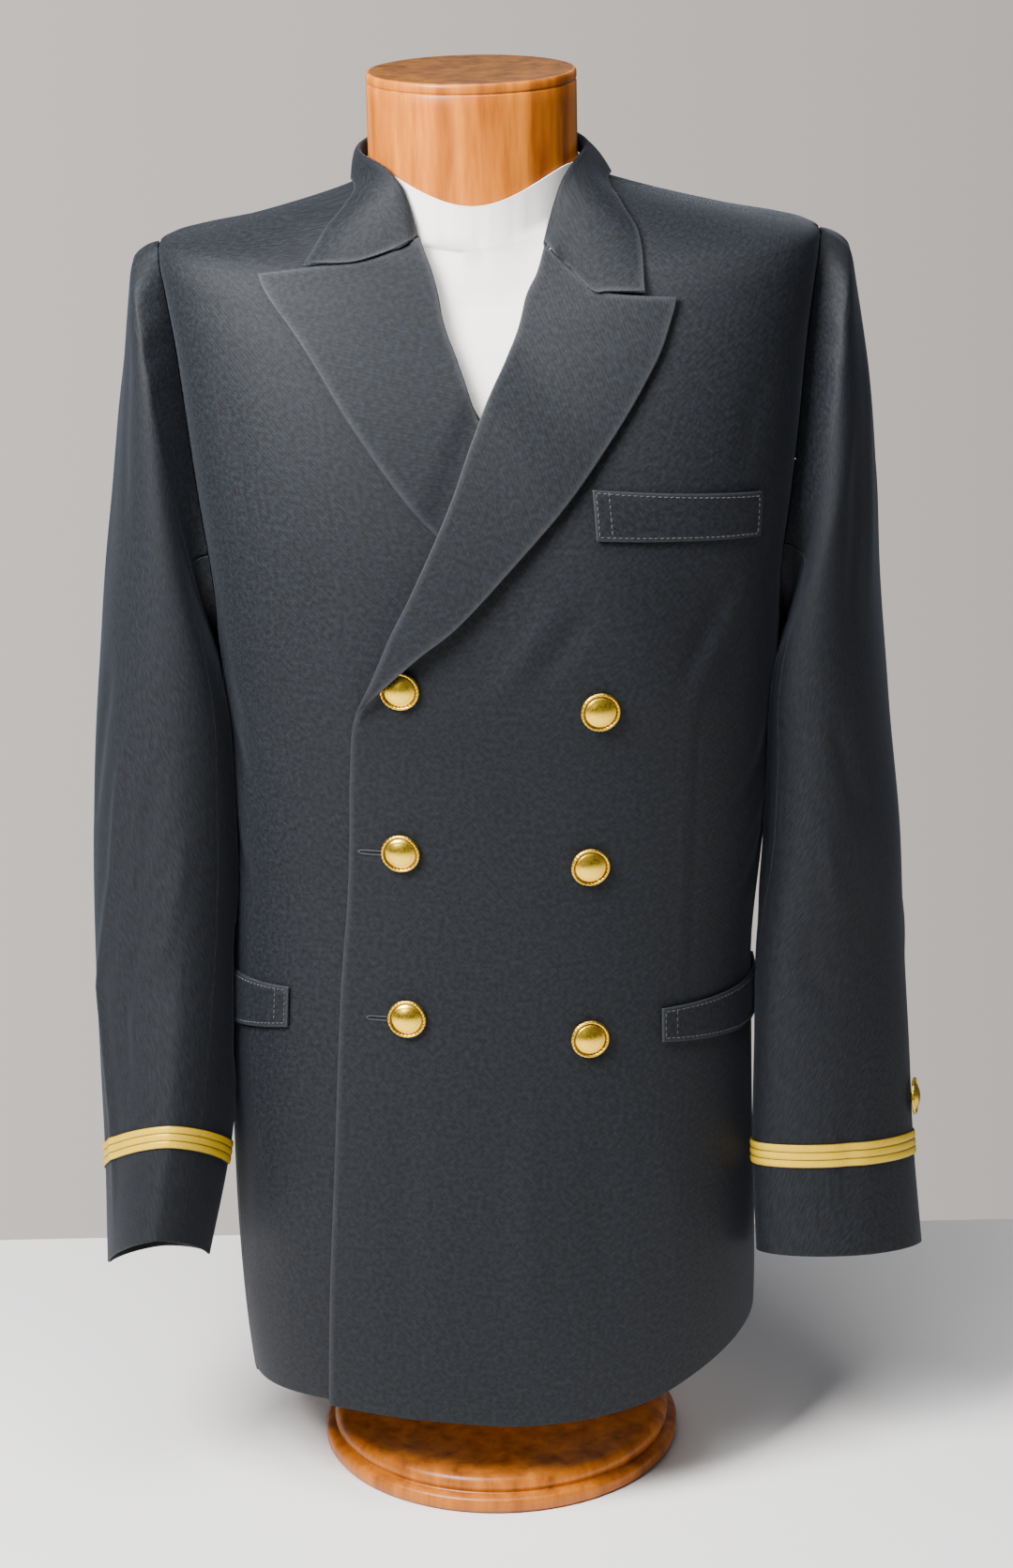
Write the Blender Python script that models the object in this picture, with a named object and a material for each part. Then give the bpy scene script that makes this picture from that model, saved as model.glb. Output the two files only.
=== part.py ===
"""Double-breasted naval dress jacket on a limbless form with a wooden neck block and base.

Frame: metres, +Z up. The origin is the middle of the base's underside, on the form's
upright axis. The front faces -Y and the wearer's left is +X.
Tables are in millimetres and degrees. An angle runs round the body from the front (0) to
the wearer's left (90) and the back (180). A level is a height on the body's side; over the
shoulders it goes on from the shoulder's end (797) to the neck seam (850).
"""
import math

import bmesh
import bpy
import numpy as np
from mathutils import Matrix, Vector

MM = 0.001
CLOTH = 1.8        # wall of the cloth, with its canvas
WELT = 1.5
LACE = 0.9
SEAM = 0.5         # gap between two pieces that are sewn edge to edge
LAYER = 0.45       # gap between a piece and the one that it lies on
SHOULDER_END = 797
NECK_SEAM = 848
SIDE_SEAM = 12     # each side seam lies this many degrees from the side
ARMHOLE_MID = 675
ARMHOLE_HALF = 122
BUTTON_R = 12.0
SLEEVE_BACK = 105      # turn of the sleeve's back seam from the middle of its top
SLEEVE_FORE = 120      # turn of its front seam the other way
SLEEVE_CLEAR = 0.8     # gap that the sleeve keeps from the body, and below the welt
SLEEVE_CLEAR_LOW = 4.2
BLOCK_R = 62.0
BLOCK_TOP = 894.0
BLOCK_FOOT = 800.0
BASE_R = 116.0
BASE_H = 22.0
TORSO_FOOT = 120.0

# level, z at the side, z in front, z behind, half width, depth in front, depth behind,
# squareness of the outline, middle
BODY = (
    (40, 40, 40, 40, 160, 120, 118, 2.35, 1),
    (90, 90, 90, 90, 165, 121, 119, 2.35, 1),
    (150, 150, 150, 150, 167.0, 121, 119, 2.35, 0.0),
    (220, 220, 220, 220, 166.6, 120, 119, 2.35, -0.9),
    (290, 290, 290, 290, 165.6, 118, 116, 2.35, -0.6),
    (350, 350, 350, 350, 164, 116, 110, 2.35, 1.0),
    (410, 410, 410, 410, 165, 116, 105, 2.35, 6),
    (470, 470, 470, 470, 168, 119, 105, 2.4, 9),
    (530, 530, 530, 530, 170.5, 123, 109, 2.45, 9.5),
    (590, 590, 588, 592, 175, 125, 115, 2.55, 9),
    (650, 650, 640, 655, 181, 122, 119, 2.7, 9),
    (700, 700, 682, 708, 185.5, 115, 118, 2.75, 9),
    (740, 740, 715, 748, 189.5, 106, 112, 2.7, 8.7),
    (770, 770, 740, 778, 194, 96, 102, 2.6, 8.5),
    (790, 790, 760, 796, 196.5, 86, 91, 2.45, 8.5),
    (797, 797, 770, 800, 195.5, 80, 84, 2.35, 9),
    (810, 806, 782, 809, 155, 73, 76, 2.2, 10),
    (825, 816, 795, 817, 115, 67, 71, 2.1, 8),
    (840, 825, 806, 823, 85, 63, 68, 2.05, 6),
    (850, 830, 812, 827, 72, 62, 67, 2.0, 4),
)
# level, degrees that the armhole reaches forward and back of the side
ARMHOLE = (
    (553, 0, 0), (555, 4.6, 4.6), (560, 8.2, 8.0), (568, 11.4, 11.2), (578, 13.4, 13.2),
    (592, 14.6, 14.8), (612, 14.8, 15.4), (636, 13.9, 15.0), (660, 12.6, 14.2),
    (685, 11.2, 13.0), (712, 9.8, 11.7), (738, 8.6, 10.2), (764, 7.2, 8.3),
    (780, 5.8, 6.5), (790, 3.8, 4.2), (795, 1.9, 2.0), (797, 0, 0),
)
# angle, level of the hem
HEM = (
    (-180, 62), (-130, 57), (-90, 60), (-71, 65), (-48, 72), (-23, 70), (10, 66),
    (28, 69), (43, 76), (53, 85), (65, 93), (82, 98), (100, 93), (140, 74), (180, 62),
)
# level, angle of the edge of the wearer's left front: front edge, then roll line
EDGE_OVER = (
    (60, -47.6), (139, -45.5), (236, -43.0), (329, -41.9), (390, -41.6), (452, -40.4),
    (494, -39.3), (535, -36.3), (561, -31.2), (616, -21.6), (674, -12.4), (718, -6.2),
    (755, 1.1), (793, 12.6), (812, 21.5), (826, 31.0), (838, 43.0), (850, 54.0),
)
# level, angle of the edge of the wearer's right front, which lies under
EDGE_UNDER = (
    (60, 45.0), (236, 42.0), (390, 41.0), (494, 39.0), (535, 36.0), (561, 31.0),
    (616, 21.5), (674, 10.0), (705, 3.0), (732, -4.0), (760, -11.0), (782, -18.0),
    (802, -27.5), (816, -37.0), (828, -48.0), (838, -58.0), (850, -68.0),
)
# row, roll angle, roll level, edge angle, edge level, lift of the edge
LAPEL_OVER = (
    (0, -36.0, 537, -33.6, 543, 3.0),
    (1, -31.2, 561, -28.0, 558, 6.6),
    (2, -26.3, 590, -19.7, 577, 7.2),
    (3, -21.6, 616, -10.0, 596, 6.0),
    (4, -12.4, 674, 6.0, 638, 4.4),
    (5, -6.2, 718, 19.5, 674, 3.4),
    (6, 1.1, 755, 31.5, 710, 2.6),
    (7, 12.6, 793, 43.4, 748, 2.0),
    (8, 20.0, 811, 48.3, 766, 1.8),
    (9, 27.0, 826, 52.7, 783, 1.6),
)
LAPEL_UNDER = (
    (0, 36.0, 537, 34.0, 543, 0.3),
    (1, 31.0, 561, 27.0, 558, 0.8),
    (2, 21.5, 616, 12.0, 598, 1.1),
    (3, 10.0, 674, -5.0, 632, 0.9),
    (4, 2.6, 705, -14.8, 651, 1.2),
    (5, -4.6, 732, -24.7, 678, 1.6),
    (6, -9.6, 760, -37.3, 719, 2.0),
    (7, -15.6, 783, -48.0, 755, 2.0),
    (8, -25.2, 808, -55.5, 775, 1.8),
    (9, -32.5, 831, -63.2, 793, 1.6),
)
# share of the lapel's width where the collar meets it, and how far the gorge dips there
NOTCH_OVER = (0.34, -17.0)
NOTCH_UNDER = (0.55, -6.0)
# share of the way, angle, level of the gorge, where the collar's ends meet the lapels
GORGE_OVER = ((0, 47.4, 788.2), (0.60, 35.9, 793.8), (1, 27.6, 824.5))
GORGE_UNDER = ((0, -57.2, 798.6), (0.55, -49.2, 803.4), (1, -33.4, 829.2))
# station, angle and level of the collar's outer edge, then its fold line: angle round the
# neck, distance from the form's axis, height
COLLAR = (
    (0.0, 47.4, 788.2, 34.0, 75.0, 801.0),
    (0.6, 51.2, 802.0, 38.5, 72.4, 811.0),
    (1.2, 57.0, 817.0, 44.0, 70.5, 822.5),
    (2.0, 64.5, 834.0, 52.5, 69.0, 835.0),
    (3.0, 82.0, 847.5, 73.0, 68.2, 845.0),
    (4.0, 121.0, 841.0, 115.0, 70.0, 849.0),
    (5.0, 180.0, 831.0, 180.0, 73.5, 856.0),
    (6.0, 239.0, 841.0, 245.0, 70.0, 849.0),
    (7.0, 279.0, 847.5, 301.0, 68.2, 845.0),
    (8.0, 292.5, 834.0, 319.5, 68.8, 835.5),
    (8.8, 297.2, 818.5, 325.0, 68.8, 825.0),
    (9.4, 300.2, 808.0, 328.0, 69.0, 815.5),
    (10.0, 302.8, 798.6, 330.5, 69.4, 806.0),
)
# row, middle x, y, z, half thickness, half flat width, turn of the flat, lean of the
# ring, rise of the outer side over the inner one, roundness of the creases
SLEEVE_LEFT = (
    (0, 197.5, 2, 676.0, 16.5, 54, 0, 0, 120.0, 2.2),
    (1, 202.8, 3, 668.5, 20.2, 63, 0, 0, 116.5, 2.2),
    (2, 204.5, 4, 655.5, 23.1, 69, 0, 0, 107.5, 2.2),
    (3, 207.9, 3, 622.0, 28.5, 74, 4, 0, 84.0, 2.2),
    (4, 207.2, 1, 584.5, 33.4, 75, 8, 0, 62.5, 2.15),
    (5, 206.3, -1, 535.5, 36.3, 74, 10, 2, 40.5, 2.1),
    (6, 209.5, -3, 479.0, 40.0, 71, 12, 4, 19.0, 2.0),
    (7, 213.9, -7, 411.0, 42.3, 67, 21, 7, 6.0, 1.9),
    (8, 213.8, -14, 341.0, 40.8, 63, 38, 10, 1.0, 1.85),
    (9, 214.9, -23, 280.0, 38.3, 60, 50, 13, 0.0, 1.85),
    (10, 215.5, -33, 214.5, 36.0, 58, 61, 16, -1.5, 1.85),
    (11, 219.0, -43, 149.0, 35.0, 57, 69, 17, -2.5, 1.85),
)
SLEEVE_RIGHT = (
    (0, 184.5, 2, 676.0, 12.5, 54, 0, 0, 120.0, 2.2),
    (1, 184.0, 3, 668.5, 20.0, 63, 0, 0, 116.5, 2.2),
    (2, 185.3, 4, 655.5, 22.5, 69, 0, 0, 107.5, 2.2),
    (3, 188.0, 3, 622.0, 27.0, 74, 3, 0, 84.0, 2.2),
    (4, 190.0, 0, 584.5, 32.2, 75, 6, 1, 62.5, 2.15),
    (5, 192.3, -3, 535.5, 39.8, 73, 8, 3, 40.5, 2.05),
    (6, 195.5, -7, 479.0, 45.5, 69, 9, 6, 19.0, 1.9),
    (7, 198.3, -12, 411.0, 48.3, 65, 10, 12, 6.0, 1.75),
    (8, 201.1, -21, 341.0, 47.2, 61, 10, 19, 1.0, 1.65),
    (9, 203.3, -34, 283.0, 44.2, 58, 9, 28, 0.0, 1.6),
    (10, 206.9, -49, 224.0, 39.4, 55, 7, 34, -0.5, 1.6),
    (11, 214.4, -66, 160.0, 32.4, 53, 4, 35, -2.0, 1.6),
)
# inner end: angle, top level, bottom level, then the outer end's
BREAST_WELT = ((25.6, 680, 647), (62.0, 659, 631.5))
HIP_WELT_LEFT = ((46.0, 338, 316.5), (70.0, 334, 305), (93.0, 331, 300))
HIP_WELT_RIGHT = ((-55.5, 351, 325), (-78.0, 344, 309), (-97.0, 341, 303))
BRAID_ROWS = (9.89, 10.12)
FRONT_BUTTONS = (
    ("button_1_right", -25.5, 553), ("button_1_left", 25.6, 537),
    ("button_2_right", -27.6, 448), ("button_2_left", 24.9, 437),
    ("button_3_right", -24.3, 341), ("button_3_left", 27.6, 325),
)
SLEEVE_BUTTONS = (("button_cuff_left", 1, 9.56, 58.0), ("button_cuff_right", -1, 9.52, 70.0))


def spline(rows, t):
    """Smooth values of a short table's columns at t, which is its first column."""
    rows = np.asarray(rows, float)
    knot = rows[:, 0]
    value = rows[:, 1:]
    slope = np.gradient(value, knot, axis=0)
    t = np.clip(np.asarray(t, float), knot[0], knot[-1])
    i = np.clip(np.searchsorted(knot, t, side="right") - 1, 0, len(knot) - 2)
    h = (knot[i + 1] - knot[i])[..., None]
    s = (t - knot[i])[..., None] / h
    a, b = value[i], value[i + 1]
    ma, mb = slope[i] * h, slope[i + 1] * h
    out = a + s * ma + s * s * (3 * (b - a) - 2 * ma - mb)
    out = out + s * s * s * (2 * (a - b) + ma + mb)
    return np.moveaxis(out, -1, 0)


def linear(rows, t):
    """Straight-line values of a table with two columns."""
    rows = np.asarray(rows, float)
    return np.interp(t, rows[:, 0], rows[:, 1])


def smooth(t):
    t = np.clip(t, 0, 1)
    return t * t * (3 - 2 * t)


def body(angle, level):
    """Point of the jacket's outer face, in metres."""
    z_side, z_front, z_back, width, front, back, square, middle = spline(BODY, level)
    turn = np.radians(angle)
    c, s = np.cos(turn), np.sin(turn)
    depth = np.where(c > 0, front, back)
    reach = (np.abs(s) / width) ** square + (np.abs(c) / depth) ** square
    reach = reach ** (-1 / square)
    z = z_side + (np.where(c > 0, z_front, z_back) - z_side) * c * c
    return np.stack([middle + reach * s, -reach * c, z], axis=-1) * MM


def body_normal(angle, level):
    along = body(angle + 0.5, level) - body(angle - 0.5, level)
    up = body(angle, level + 1) - body(angle, level - 1)
    n = np.cross(along, up)
    return n / np.linalg.norm(n, axis=-1, keepdims=True)


def on_body(angle, level, out):
    """Point moved out from the jacket's face by a number of millimetres."""
    out = np.asarray(out, float)
    return body(angle, level) + body_normal(angle, level) * (out * MM)[..., None]


def hem(angle):
    turned = (np.asarray(angle, float) + 180) % 360 - 180
    return spline(HEM, turned)[0]


def seam_angle(level):
    """Half a seam's gap as an angle."""
    return np.degrees(SEAM / 2 / spline(BODY, level)[3])


def armhole_reach(level, ahead):
    """Degrees from the side to the armhole's edge at a level."""
    return np.maximum(spline(ARMHOLE, level)[0 if ahead else 1], 0)


def armhole_floor(reach, ahead):
    """Level of the armhole's lower edge, that many degrees from the side."""
    levels = np.linspace(ARMHOLE[0][0], ARMHOLE[5][0], 160)
    return np.interp(reach, armhole_reach(levels, ahead), levels)


def side_edge(level, ahead):
    """Degrees from the side where a front or back panel ends: seam, armhole, shoulder."""
    reach = float(armhole_reach(level, ahead))
    if level < armhole_floor(SIDE_SEAM, ahead):
        reach = SIDE_SEAM
    elif level < ARMHOLE_MID:
        reach = max(SIDE_SEAM, reach)
    return reach + float(seam_angle(level))


def over_lift(angle, level):
    """How far the wearer's left front stands off, where it laps over the right one."""
    under = spline(EDGE_UNDER, level)[0]
    lap = 1 - smooth((angle - under - 3) / 26)
    layers = 2.8 + 3.0 * smooth((level - 500) / 40)
    return lap * layers


def no_lift(angle, level):
    return 0 * angle * level


def even_angles(first, last, level, count):
    """Angles that part the body's outline at a level into equal lengths."""
    dense = np.linspace(first, last, 240)
    points = body(dense, np.full(240, float(level)))
    step = np.linalg.norm(np.diff(points, axis=0), axis=1)
    run = np.concatenate([[0], np.cumsum(step)])
    return np.interp(np.linspace(0, run[-1], count), run, dense)


def cloth_walls(angle, level, out, wall=CLOTH):
    """Outer and inner face of one row of a piece that follows the body."""
    return on_body(angle, level, out), on_body(angle, level, out - wall)


def wall_object(name, rows, material):
    """A piece of cloth from rows of its outer and inner face."""
    outer = np.array([row[0] for row in rows])
    inner = np.array([row[1] for row in rows])
    count, cols = outer.shape[:2]
    home = outer[0, 0].copy()
    bm = bmesh.new()
    out = [[bm.verts.new(p - home) for p in row] for row in outer]
    back = [[bm.verts.new(p - home) for p in row] for row in inner]
    for i in range(count - 1):
        for j in range(cols - 1):
            bm.faces.new((out[i][j], out[i][j + 1], out[i + 1][j + 1]))
            bm.faces.new((out[i][j], out[i + 1][j + 1], out[i + 1][j]))
            bm.faces.new((back[i][j], back[i + 1][j + 1], back[i][j + 1]))
            bm.faces.new((back[i][j], back[i + 1][j], back[i + 1][j + 1]))
    rim = [(0, j) for j in range(cols)] + [(i, cols - 1) for i in range(1, count)]
    rim += [(count - 1, j) for j in range(cols - 2, -1, -1)]
    rim += [(i, 0) for i in range(count - 2, 0, -1)]
    for (i, j), (k, m) in zip(rim, rim[1:] + rim[:1]):
        bm.faces.new((out[k][m], out[i][j], back[i][j], back[k][m]))
    bmesh.ops.recalc_face_normals(bm, faces=bm.faces)
    mesh = bpy.data.meshes.new(name)
    bm.to_mesh(mesh)
    bm.free()
    return finish(name, mesh, material, home)


def finish(name, mesh, material, home):
    mesh.update()
    obj = bpy.data.objects.new(name, mesh)
    bpy.context.scene.collection.objects.link(obj)
    obj.location = Vector([float(v) for v in home])
    obj.parent = bpy.data.objects["jacket_and_form"]
    obj.data.materials.append(make_material(name, material))
    mesh.shade_smooth()
    mesh.set_sharp_from_angle(angle=math.radians(40))
    return obj


COLOURS = {
    "serge": ((0.020, 0.022, 0.028), 0.9, 0.0),
    "braid": ((0.74, 0.50, 0.09), 0.5, 0.3),
    "gilt": ((0.83, 0.58, 0.16), 0.3, 1.0),
    "jersey": ((0.76, 0.74, 0.70), 0.95, 0.0),
    "wood": ((0.47, 0.17, 0.045), 0.35, 0.0),
    "steel": ((0.35, 0.35, 0.36), 0.4, 1.0),
}


def make_material(name, kind):
    colour, rough, metal = COLOURS[kind]
    made = bpy.data.materials.new(name + "_" + kind)
    made.use_nodes = True
    shader = made.node_tree.nodes["Principled BSDF"]
    shader.inputs["Base Color"].default_value = (*colour, 1.0)
    shader.inputs["Roughness"].default_value = rough
    shader.inputs["Metallic"].default_value = metal
    return made


def front_rows(side, levels, cols):
    """Faces of a front. Side 1 is the wearer's left, which laps over."""
    rows = []
    for level in levels:
        if side > 0:
            first = float(spline(EDGE_OVER, level)[0])
            last = float(90 - side_edge(level, True))
        else:
            first = float(-90 + side_edge(level, True))
            last = float(spline(EDGE_UNDER, level)[0])
        angle = even_angles(first, last, level, cols)
        fade = np.clip(1 - (level - levels[0]) / 220, 0, 1)
        flat = level + (hem(angle) - levels[0]) * fade
        if side > 0:
            rows.append(cloth_walls(angle, flat, over_lift(angle, flat)))
        else:
            rows.append(cloth_walls(angle, flat + 2.5 * fade, no_lift(angle, flat)))
    return rows


def back_rows(side, levels, cols):
    """Faces of one half of the back, from the side seam to the centre seam."""
    rows = []
    for level in levels:
        first = float(90 + side_edge(level, False))
        last = float(180 - seam_angle(level) * 1.5)
        angle = even_angles(first, last, level, cols)
        if side < 0:
            angle = -angle[::-1]
        fade = np.clip(1 - (level - levels[0]) / 220, 0, 1)
        flat = level + (hem(angle) - levels[0]) * fade
        rows.append(cloth_walls(angle, flat, no_lift(angle, flat)))
    return rows


def side_rows(side, count, cols):
    """Faces of a side body, from the hem up to the bottom of the armhole."""
    gap = math.degrees(SEAM / 2 / 165)
    angle = np.linspace(90 - SIDE_SEAM + gap, 90 + SIDE_SEAM - gap, cols)
    away = np.abs(angle - 90)
    top = np.where(angle < 90, armhole_floor(away, True), armhole_floor(away, False)) - SEAM
    turned = angle if side > 0 else -angle[::-1]
    top = top if side > 0 else top[::-1]
    low = hem(turned)
    rows = []
    for part in np.linspace(0, 1, count):
        level = low + (top - low) * part
        rows.append(cloth_walls(turned, level, no_lift(turned, level)))
    return rows


def lapel_rows(table, notch, lift_of, count, cols):
    """Faces of a lapel, moved out from the front that it lies on."""
    share = np.linspace(0, 1, cols)
    rows = []
    last = table[-1][0]
    for k in np.linspace(0, last, count):
        ra, rl, ea, el, lift = spline(table, k)
        angle = ra + (ea - ra) * share
        level = rl + (el - rl) * share
        dip = np.interp(share, (0, notch[0], 1), (0, 1, 0)) * notch[1]
        level = level + dip * smooth((k / last - 0.72) / 0.28)
        stand = lift * (0.82 + 0.18 * share)
        if table[0][1] > 0:
            clear = spline(EDGE_OVER, level)[0] - angle
            stand = stand * smooth((clear - 1) / 8) + 0.25
        outer, inner = cloth_walls(angle, level, lift_of(angle, level) + LAYER + CLOTH + stand)
        if table[0][1] > 0:
            outer, inner = outer[::-1], inner[::-1]
        rows.append((outer, inner))
    return rows


def armhole(side, turn):
    """Point of the armhole's edge; turn 0 is the shoulder, 90 the front, 180 the armpit."""
    c, s = np.cos(np.radians(turn)), np.sin(np.radians(turn))
    level = ARMHOLE_MID + ARMHOLE_HALF * c
    reach = np.where(s > 0, armhole_reach(level, True), armhole_reach(level, False))
    reach = 0.98 * reach * np.where(s > 0, 1, -1)
    level = ARMHOLE_MID + (ARMHOLE_HALF - 0.8) * c
    return on_body(side * (90 - reach), level, 0.5 + 0 * reach)


def sleeve(side, table, row, turn):
    """Point of a sleeve's outer face. Turn 0 is its outer side, 90 its back crease."""
    row = np.asarray(row, float) + 0 * turn
    mx, my, mz, thin, flat, tau, lean, rise, power = spline(table, row)
    c, s = np.cos(np.radians(turn)), np.sin(np.radians(turn))
    size = (np.abs(c) ** power + np.abs(s) ** power) ** (-1 / power)
    across, along = c * size * thin, s * size * flat
    t = np.radians(tau)
    x = mx + across * np.cos(t) + along * np.sin(t)
    y = my - across * np.sin(t) + along * np.cos(t)
    ahead = y - my
    ahead = np.where(ahead > 0, ahead * (1.15 if side > 0 else 0.45), ahead)
    z = mz + c * size * rise - ahead * np.tan(np.radians(lean))
    ring = np.stack([side * x, y, z], axis=-1) * MM
    start = armhole(side, -turn)
    blend = smooth(row / 1.0)[..., None]
    return press(start + (ring - start) * blend, smooth((row - 0.5) / 1.2))


def press(point, weight):
    """Moves a sleeve's points out to where the body that they lie against lets them be."""
    level = np.clip(point[..., 2] / MM, 60, 780)
    middle = spline(BODY, level)[7] * MM
    x, y = point[..., 0] - middle, point[..., 1]
    reach = np.hypot(x, y)
    wall = body(np.degrees(np.arctan2(x, -y)), level)
    low = smooth((395 - level) / 30)
    low = low * smooth((level - 268) / 30)
    clear = SLEEVE_CLEAR + (SLEEVE_CLEAR_LOW - SLEEVE_CLEAR) * low
    least = np.hypot(wall[..., 0] - middle, wall[..., 1]) + clear * MM
    pushed = 0.5 * (reach + least + np.sqrt((reach - least) ** 2 + (1.2 * MM) ** 2))
    grow = 1 + (pushed / reach - 1) * weight
    moved = np.stack([middle + x * grow, y * grow, point[..., 2]], axis=-1)
    return moved


def sleeve_normal(side, table, row, turn):
    along = sleeve(side, table, row, turn + 2.0) - sleeve(side, table, row, turn - 2.0)
    down = sleeve(side, table, row + 0.02, turn) - sleeve(side, table, row - 0.02, turn)
    n = np.cross(down, along) * side
    return -n / np.linalg.norm(n, axis=-1, keepdims=True) * -1


def sleeve_angles(side, table, first, last, row, count):
    """Turns that part a sleeve's ring into equal lengths."""
    dense = np.linspace(first, last, 240)
    points = sleeve(side, table, row, dense)
    step = np.linalg.norm(np.diff(points, axis=0), axis=1)
    run = np.concatenate([[0], np.cumsum(step)])
    return np.interp(np.linspace(0, run[-1], count), run, dense)


def sleeve_walls(side, table, row, turn, out, wall):
    point = sleeve(side, table, row, turn)
    normal = sleeve_normal(side, table, row, turn)
    outer, inner = point + normal * out * MM, point + normal * (out - wall) * MM
    if side > 0:
        return outer[::-1], inner[::-1]
    return outer, inner


def seam_turn(side, table, row, turn):
    """Half a seam's gap as a turn round the sleeve."""
    ends = sleeve(side, table, row, np.array([turn - 1.0, turn + 1.0]))
    return 2.0 * SEAM / np.linalg.norm(ends[1] - ends[0]) * MM


def sleeve_rows(side, table, rows, top_cols, under_cols):
    """Faces of the top and under sleeve, row by row."""
    tops, unders = [], []
    for row in rows:
        back = seam_turn(side, table, row, SLEEVE_BACK)
        fore = seam_turn(side, table, row, 360 - SLEEVE_FORE)
        half = top_cols // 2 + 1
        turn = np.concatenate([
            sleeve_angles(side, table, -SLEEVE_FORE + fore, 0, row, half)[:-1],
            sleeve_angles(side, table, 0, SLEEVE_BACK - back, row, half),
        ])
        tops.append(sleeve_walls(side, table, row, turn, 0.0, CLOTH))
        turn = sleeve_angles(side, table, SLEEVE_BACK + back, 360 - SLEEVE_FORE - fore, row,
                             under_cols)
        unders.append(sleeve_walls(side, table, row, turn, 0.0, CLOTH))
    return tops, unders


def collar_sections(stations):
    """Middle line of the collar across: outer edge, fall, fold, stand."""
    out = []
    for u in stations:
        ea, el, fa, fr, fz = spline(COLLAR, u)
        signed = (ea + 180) % 360 - 180
        lift = over_lift(signed, el) if 0 < signed < 60 else 0.0
        edge = on_body(ea, el, lift + LAYER + 1.6)
        turn = math.radians(fa)
        fold = np.array([fr * math.sin(turn), -fr * math.cos(turn), fz]) * MM
        outward = np.array([math.sin(turn), -math.cos(turn), 0.0])
        seam = body(fa, NECK_SEAM + 2.0)
        span = np.linalg.norm(edge - fold)
        belly = edge * 0.42 + fold * 0.58 + body_normal(ea, el) * span * 0.12
        line = []
        for v in (0, 0.2, 0.4, 0.6, 0.8, 0.93):
            line.append((1 - v) ** 2 * edge + 2 * v * (1 - v) * belly + v * v * fold)
        line.append(fold + np.array([0, 0, 1.3 * MM]) - outward * 1.2 * MM)
        inner = fold - outward * 2.4 * MM - np.array([0, 0, 1.0 * MM])
        reach = max(fz * MM - seam[2] - 2.0 * MM, 2.0 * MM)
        for v in (0.0, 0.5, 1.0):
            line.append(inner - np.array([0, 0, reach * v]) + outward * 1.2 * MM * v)
        line = np.array(line)
        for gorge, near in ((GORGE_OVER, u), (GORGE_UNDER, 10 - u)):
            weight = 1 - smooth(near / 1.4)
            if weight <= 0:
                continue
            table = np.array(gorge)
            v = np.array((0, 0.2, 0.4, 0.6, 0.8, 0.93))
            ga = np.interp(v, table[:, 0], table[:, 1])
            gl = np.interp(v, table[:, 0], table[:, 2])
            lay = (over_lift(ga, gl) if gorge is GORGE_OVER else 0) + LAYER + 4.9
            line[:6] = line[:6] * (1 - weight) + on_body(ga, gl, lay + 0 * ga) * weight
        out.append(line)
    return np.array(out)


def band_object(name, lines, wall, material):
    """A closed band: every station's middle line with half the wall on each side."""
    stations, points = lines.shape[:2]
    along = np.gradient(lines, axis=0)
    across = np.gradient(lines, axis=1)
    normal = np.cross(along, across)
    normal = normal / np.linalg.norm(normal, axis=-1, keepdims=True)
    half = wall / 2 * MM
    loop = np.concatenate([lines + normal * half, (lines - normal * half)[:, ::-1]], axis=1)
    count = points * 2
    home = lines[stations // 2, 0]
    bm = bmesh.new()
    rings = []
    for ring in loop:
        rings.append([bm.verts.new(p - home) for p in ring])
    for a, b in zip(rings, rings[1:]):
        for j in range(count):
            k = (j + 1) % count
            bm.faces.new((a[j], a[k], b[k], b[j]))
    for ring in (rings[0], rings[-1]):
        for j in range(points - 1):
            bm.faces.new((ring[j], ring[j + 1], ring[count - 2 - j], ring[count - 1 - j]))
    bmesh.ops.recalc_face_normals(bm, faces=bm.faces)
    bmesh.ops.triangulate(bm, faces=bm.faces)
    mesh = bpy.data.meshes.new(name)
    bm.to_mesh(mesh)
    bm.free()
    return finish(name, mesh, material, home)


def braid_object(name, side, table, turns):
    """A closed ring of lace round a sleeve, its bottom and top edge on two rows."""
    rings = []
    for row, out in ((BRAID_ROWS[0], LACE), (BRAID_ROWS[1], LACE), (BRAID_ROWS[1], 0),
                     (BRAID_ROWS[0], 0)):
        at = np.full(len(turns), float(row))
        point = sleeve(side, table, at, turns)
        normal = sleeve_normal(side, table, at, turns)
        rings.append(point + normal * (1.5 * LAYER + out) * MM)
    home = rings[0].mean(axis=0)
    bm = bmesh.new()
    made = [[bm.verts.new(p - home) for p in ring] for ring in rings]
    for a, b in zip(made, made[1:] + made[:1]):
        for k in range(len(turns)):
            m = (k + 1) % len(turns)
            bm.faces.new((a[k], a[m], b[m], b[k]))
    bmesh.ops.recalc_face_normals(bm, faces=bm.faces)
    bmesh.ops.triangulate(bm, faces=bm.faces)
    mesh = bpy.data.meshes.new(name)
    bm.to_mesh(mesh)
    bm.free()
    return finish(name, mesh, "braid", home)


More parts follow.
